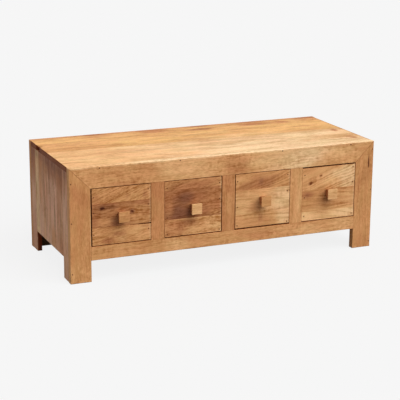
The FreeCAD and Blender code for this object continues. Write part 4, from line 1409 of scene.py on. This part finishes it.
def add_nail(shell, plane, across, rise):
    """A nail head, a little sunk, in the dark stain that iron leaves in the wood."""
    rings = []
    for share, proud in NAIL_RINGS:
        radius = share * bpy.context.scene.coffee_table_sizes.nail_radius
        ring = []
        for i in range(NAIL_POINTS):
            angle = -2 * math.pi * i / NAIL_POINTS
            place = (across + radius * math.cos(angle), rise + radius * math.sin(angle))
            ring.append(plane.point(*place, proud))
        rings.append(ring)
    shell.add_rings(rings, [tone_of("filler")] * len(rings), (plane.right, plane.up, plane.out))


def add_upright_nails(shell, plane, hand, inset, shares):
    """A row of nails up one edge of a plane."""
    across = inset if hand == "left" else plane.width - inset
    for share in shares:
        add_nail(shell, plane, across, share * plane.height)


class CoffeeTableNails(bpy.types.Operator):
    """Drive the nails of the face frames and of the drawer fronts"""
    bl_idname = "coffee_table.drive_nails"
    bl_label = "Nails"

    def execute(self, context):
        for face in FACES:
            self.drive_frame_nails(face)
            for _, bay, drawer in drawers((face,)):
                self.drive_drawer_nails(face, bay, drawer)
        return {"FINISHED"}

    def drive_frame_nails(self, face):
        shell = Shell()
        rail = outer_face(f"{face}_top_rail", face)
        for share in RAIL_NAIL_SHARES:
            add_nail(shell, rail, share * rail.width, rail.height - NAIL_INSET)
        for hand, shares in POST_NAIL_SHARES.items():
            post = outer_face(f"{face}_{hand}_post", face)
            add_upright_nails(shell, post, hand, NAIL_INSET, shares)
        piece = shell.make(f"{face}_nail_heads", dark_filler())
        place_piece(piece, "case", "nail_steel", f"{face}_frame_nails")

    def drive_drawer_nails(self, face, bay, drawer):
        shell = Shell()
        front = outer_face(f"{drawer}_front", face)
        for hand, shares in DRAWER_NAIL_SHARES[bay].items():
            add_upright_nails(shell, front, hand, DRAWER_NAIL_INSET, shares)
        place_piece(shell.make(f"{drawer}_nail_heads", dark_filler()), drawer, "nail_steel")


class CoffeeTableCrack(bpy.types.Operator):
    """Fill the crack at the outer edge of the right front post"""
    bl_idname = "coffee_table.fill_crack"
    bl_label = "Filled crack"

    def execute(self, context):
        width = context.scene.coffee_table_sizes.crack_width
        plane = outer_face("front_right_post", "front")
        start, end = CRACK_SHARES
        rings = []
        for i in range(CRACK_RINGS + 1):
            share = i / CRACK_RINGS
            rise = plane.height * (start + share * (end - start))
            half = max(CRACK_TIP, width / 2 * math.sin(math.pi * share ** CRACK_LOW_POWER))
            sway = CRACK_SWAY * noise.noise(Vector((0, 0, rise * CRACK_SWAY_SCALE)))
            across = plane.width - CRACK_INSET + sway
            corners = ((-half, CRACK_PROUD), (half, CRACK_PROUD), (half / 2, -width), (-half / 2, -width))
            rings.append([plane.point(across + x, rise, proud) for x, proud in corners])
        shell = Shell()
        shell.add_rings(rings, [tone_of("filler")] * len(rings), (plane.up, plane.right, plane.out))
        place_piece(shell.make("right_post_crack", dark_filler()), "case", "frame_wood")
        return {"FINISHED"}


INNER_ORDERS = {
    "drawer_runners": "crosswise",
    "drawer_kickers": "crosswise",
    "drawer_guides": "crosswise",
    "centre_divider": "lengthwise",
}
BOX_ORDERS = {"sides": "crosswise", "back": "lengthwise", "bottom": "flat"}
BEVEL_SEGMENTS = 2


def dress(node, order, tone_name):
    """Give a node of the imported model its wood, and ease its edges."""
    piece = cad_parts[node]
    for slot in piece.material_slots:
        slot.material = inner_wood(order, tone_name)
    piece.modifiers.new("weld", "WELD")
    bevel = piece.modifiers.new("bevel", "BEVEL")
    bevel.width = bpy.context.scene.coffee_table_sizes.edge_bevel
    bevel.segments = BEVEL_SEGMENTS
    bevel.limit_method = "ANGLE"


class CoffeeTableInside(bpy.types.Operator):
    """Dress the drawer boxes, runners, guides, kickers and the divider in plain wood"""
    bl_idname = "coffee_table.dress_inside"
    bl_label = "Drawer boxes and runners"

    def execute(self, context):
        for node, order in INNER_ORDERS.items():
            dress(node, order, "hidden")
        for _, _, drawer in drawers():
            for part, order in BOX_ORDERS.items():
                dress(f"{drawer}_{part}", order, "inner")
        return {"FINISHED"}


FLOOR_SIZE = 60.0
# Share of the floor's tone that it throws back at the table, and share of the seen floor that takes shadow.
FLOOR_BOUNCE_SHARE = 0.22
FLOOR_SHADOW_SHARE = 0.07
KEY_DIRECTION = Vector((0.5, -1.0, 1.2))
KEY_SPREAD = math.radians(58)
CAMERA_LENS = 111.87
CAMERA_SENSOR = 36.0
CAMERA_AZIMUTH_DEG = -23.395
CAMERA_ELEVATION_DEG = 15.445
CAMERA_ROLL_DEG = 0.441
CAMERA_TARGET = Vector((-0.0055, 0.0, 0.18225))
CAMERA_DISTANCE = 4.732


def seen_directly(wiring):
    """1 for rays from the camera, from gloss and through glass, which see the plain background."""
    path = wiring.tree.nodes.new("ShaderNodeLightPath").outputs
    seen = wiring.maths("MAXIMUM", path["Is Camera Ray"], path["Is Glossy Ray"])
    return wiring.maths("MAXIMUM", seen, path["Is Transmission Ray"])


def lay_floor(context):
    plain = context.scene.coffee_table_tones.floor
    material, wiring = new_material("plain_floor")
    nodes = wiring.tree.nodes
    nodes.remove(nodes["Principled BSDF"])
    lit = wiring.add("ShaderNodeBsdfDiffuse", {"Color": opaque(plain, FLOOR_SHADOW_SHARE)})
    glow = wiring.add("ShaderNodeEmission", {"Color": opaque(plain), "Strength": 1 - FLOOR_SHADOW_SHARE})
    shown = wiring.add("ShaderNodeAddShader", {0: lit, 1: glow})
    dull = wiring.add("ShaderNodeBsdfDiffuse", {"Color": opaque(plain, FLOOR_BOUNCE_SHARE)})
    both = wiring.add("ShaderNodeMixShader", {0: seen_directly(wiring), 1: dull, 2: shown})
    wiring.fill(nodes["Material Output"], {"Surface": both})
    half = FLOOR_SIZE / 2
    mesh = bpy.data.meshes.new("floor")
    corners = [(x, y, 0) for x, y in rectangle(-half, -half, half, half)]
    mesh.from_pydata(corners, [], [range(len(corners))])
    mesh.materials.append(material)
    floor = bpy.data.objects.new("floor", mesh)
    context.scene.collection.objects.link(floor)


def light_world(context):
    tones = context.scene.coffee_table_tones
    world = bpy.data.worlds.new("pale_studio")
    world.use_nodes = True
    context.scene.world = world
    wiring = Wiring(world.node_tree)
    nodes = world.node_tree.nodes
    wiring.fill(nodes["Background"], {"Color": opaque(tones.floor)})
    ambient = wiring.add("ShaderNodeBackground", {
        "Color": opaque(tones.fill_light),
        "Strength": context.scene.coffee_table_stage.ambient,
    })
    shown = nodes["Background"].outputs[0]
    both = wiring.add("ShaderNodeMixShader", {0: seen_directly(wiring), 1: ambient, 2: shown})
    wiring.fill(nodes["World Output"], {"Surface": both})


def hang_lamp(context):
    data = bpy.data.lights.new("key", "SUN")
    data.energy = context.scene.coffee_table_stage.key_strength
    data.color = context.scene.coffee_table_tones.key_light
    data.angle = KEY_SPREAD
    lamp = bpy.data.objects.new("key", data)
    lamp.location = KEY_DIRECTION
    lamp.rotation_mode = "QUATERNION"
    lamp.rotation_quaternion = KEY_DIRECTION.to_track_quat("Z", "Y")
    context.scene.collection.objects.link(lamp)


def place_camera(context):
    azimuth, elevation = math.radians(CAMERA_AZIMUTH_DEG), math.radians(CAMERA_ELEVATION_DEG)
    back = Vector((
        math.sin(azimuth) * math.cos(elevation),
        -math.cos(azimuth) * math.cos(elevation),
        math.sin(elevation),
    ))
    data = bpy.data.cameras.new("camera")
    data.lens = CAMERA_LENS
    data.sensor_width = CAMERA_SENSOR
    camera = bpy.data.objects.new("camera", data)
    camera.location = CAMERA_TARGET + back * CAMERA_DISTANCE
    camera.rotation_mode = "QUATERNION"
    roll = Quaternion((0, 0, 1), math.radians(CAMERA_ROLL_DEG))
    camera.rotation_quaternion = back.to_track_quat("Z", "Y") @ roll
    context.scene.collection.objects.link(camera)
    context.scene.camera = camera


class CoffeeTableStudio(bpy.types.Operator):
    """Set up the floor, the light and the camera"""
    bl_idname = "coffee_table.set_stage"
    bl_label = "Floor, light and camera"

    def execute(self, context):
        lay_floor(context)
        light_world(context)
        hang_lamp(context)
        place_camera(context)
        context.scene.view_settings.view_transform = "Standard"
        return {"FINISHED"}


BUILDERS = (
    CoffeeTableTop,
    CoffeeTableSides,
    CoffeeTableFrames,
    CoffeeTableFronts,
    CoffeeTableKnobs,
    CoffeeTableNails,
    CoffeeTableCrack,
    CoffeeTableInside,
    CoffeeTableStudio,
)
GROUPS = {
    "coffee_table_sizes": CoffeeTableSizes,
    "coffee_table_tones": CoffeeTableTones,
    "coffee_table_stage": CoffeeTableStage,
}


class CoffeeTablePanel(bpy.types.Panel):
    """Lists the pieces of the table with their sizes and tones"""
    bl_idname = "VIEW3D_PT_coffee_table"
    bl_label = "Coffee table"
    bl_space_type = "VIEW_3D"
    bl_region_type = "UI"
    bl_category = "Coffee table"

    def draw(self, context):
        for operator in BUILDERS:
            self.layout.operator(operator.bl_idname)
        for name, kind in GROUPS.items():
            column = self.layout.column()
            for key in kind.__annotations__:
                column.prop(getattr(context.scene, name), key)


CLASSES = (*GROUPS.values(), *BUILDERS, CoffeeTablePanel)


def register():
    for kind in CLASSES:
        bpy.utils.register_class(kind)
    for name, group in GROUPS.items():
        setattr(bpy.types.Scene, name, bpy.props.PointerProperty(type=group))


def unregister():
    for name in GROUPS:
        delattr(bpy.types.Scene, name)
    for kind in reversed(CLASSES):
        bpy.utils.unregister_class(kind)


def main():
    register()
    bpy.ops.coffee_table.lay_top()
    bpy.ops.coffee_table.join_sides()
    bpy.ops.coffee_table.build_frames()
    bpy.ops.coffee_table.glue_fronts()
    bpy.ops.coffee_table.set_knobs()
    bpy.ops.coffee_table.drive_nails()
    bpy.ops.coffee_table.fill_crack()
    bpy.ops.coffee_table.dress_inside()
    bpy.ops.coffee_table.set_stage()


if __name__ == "__main__":
    main()
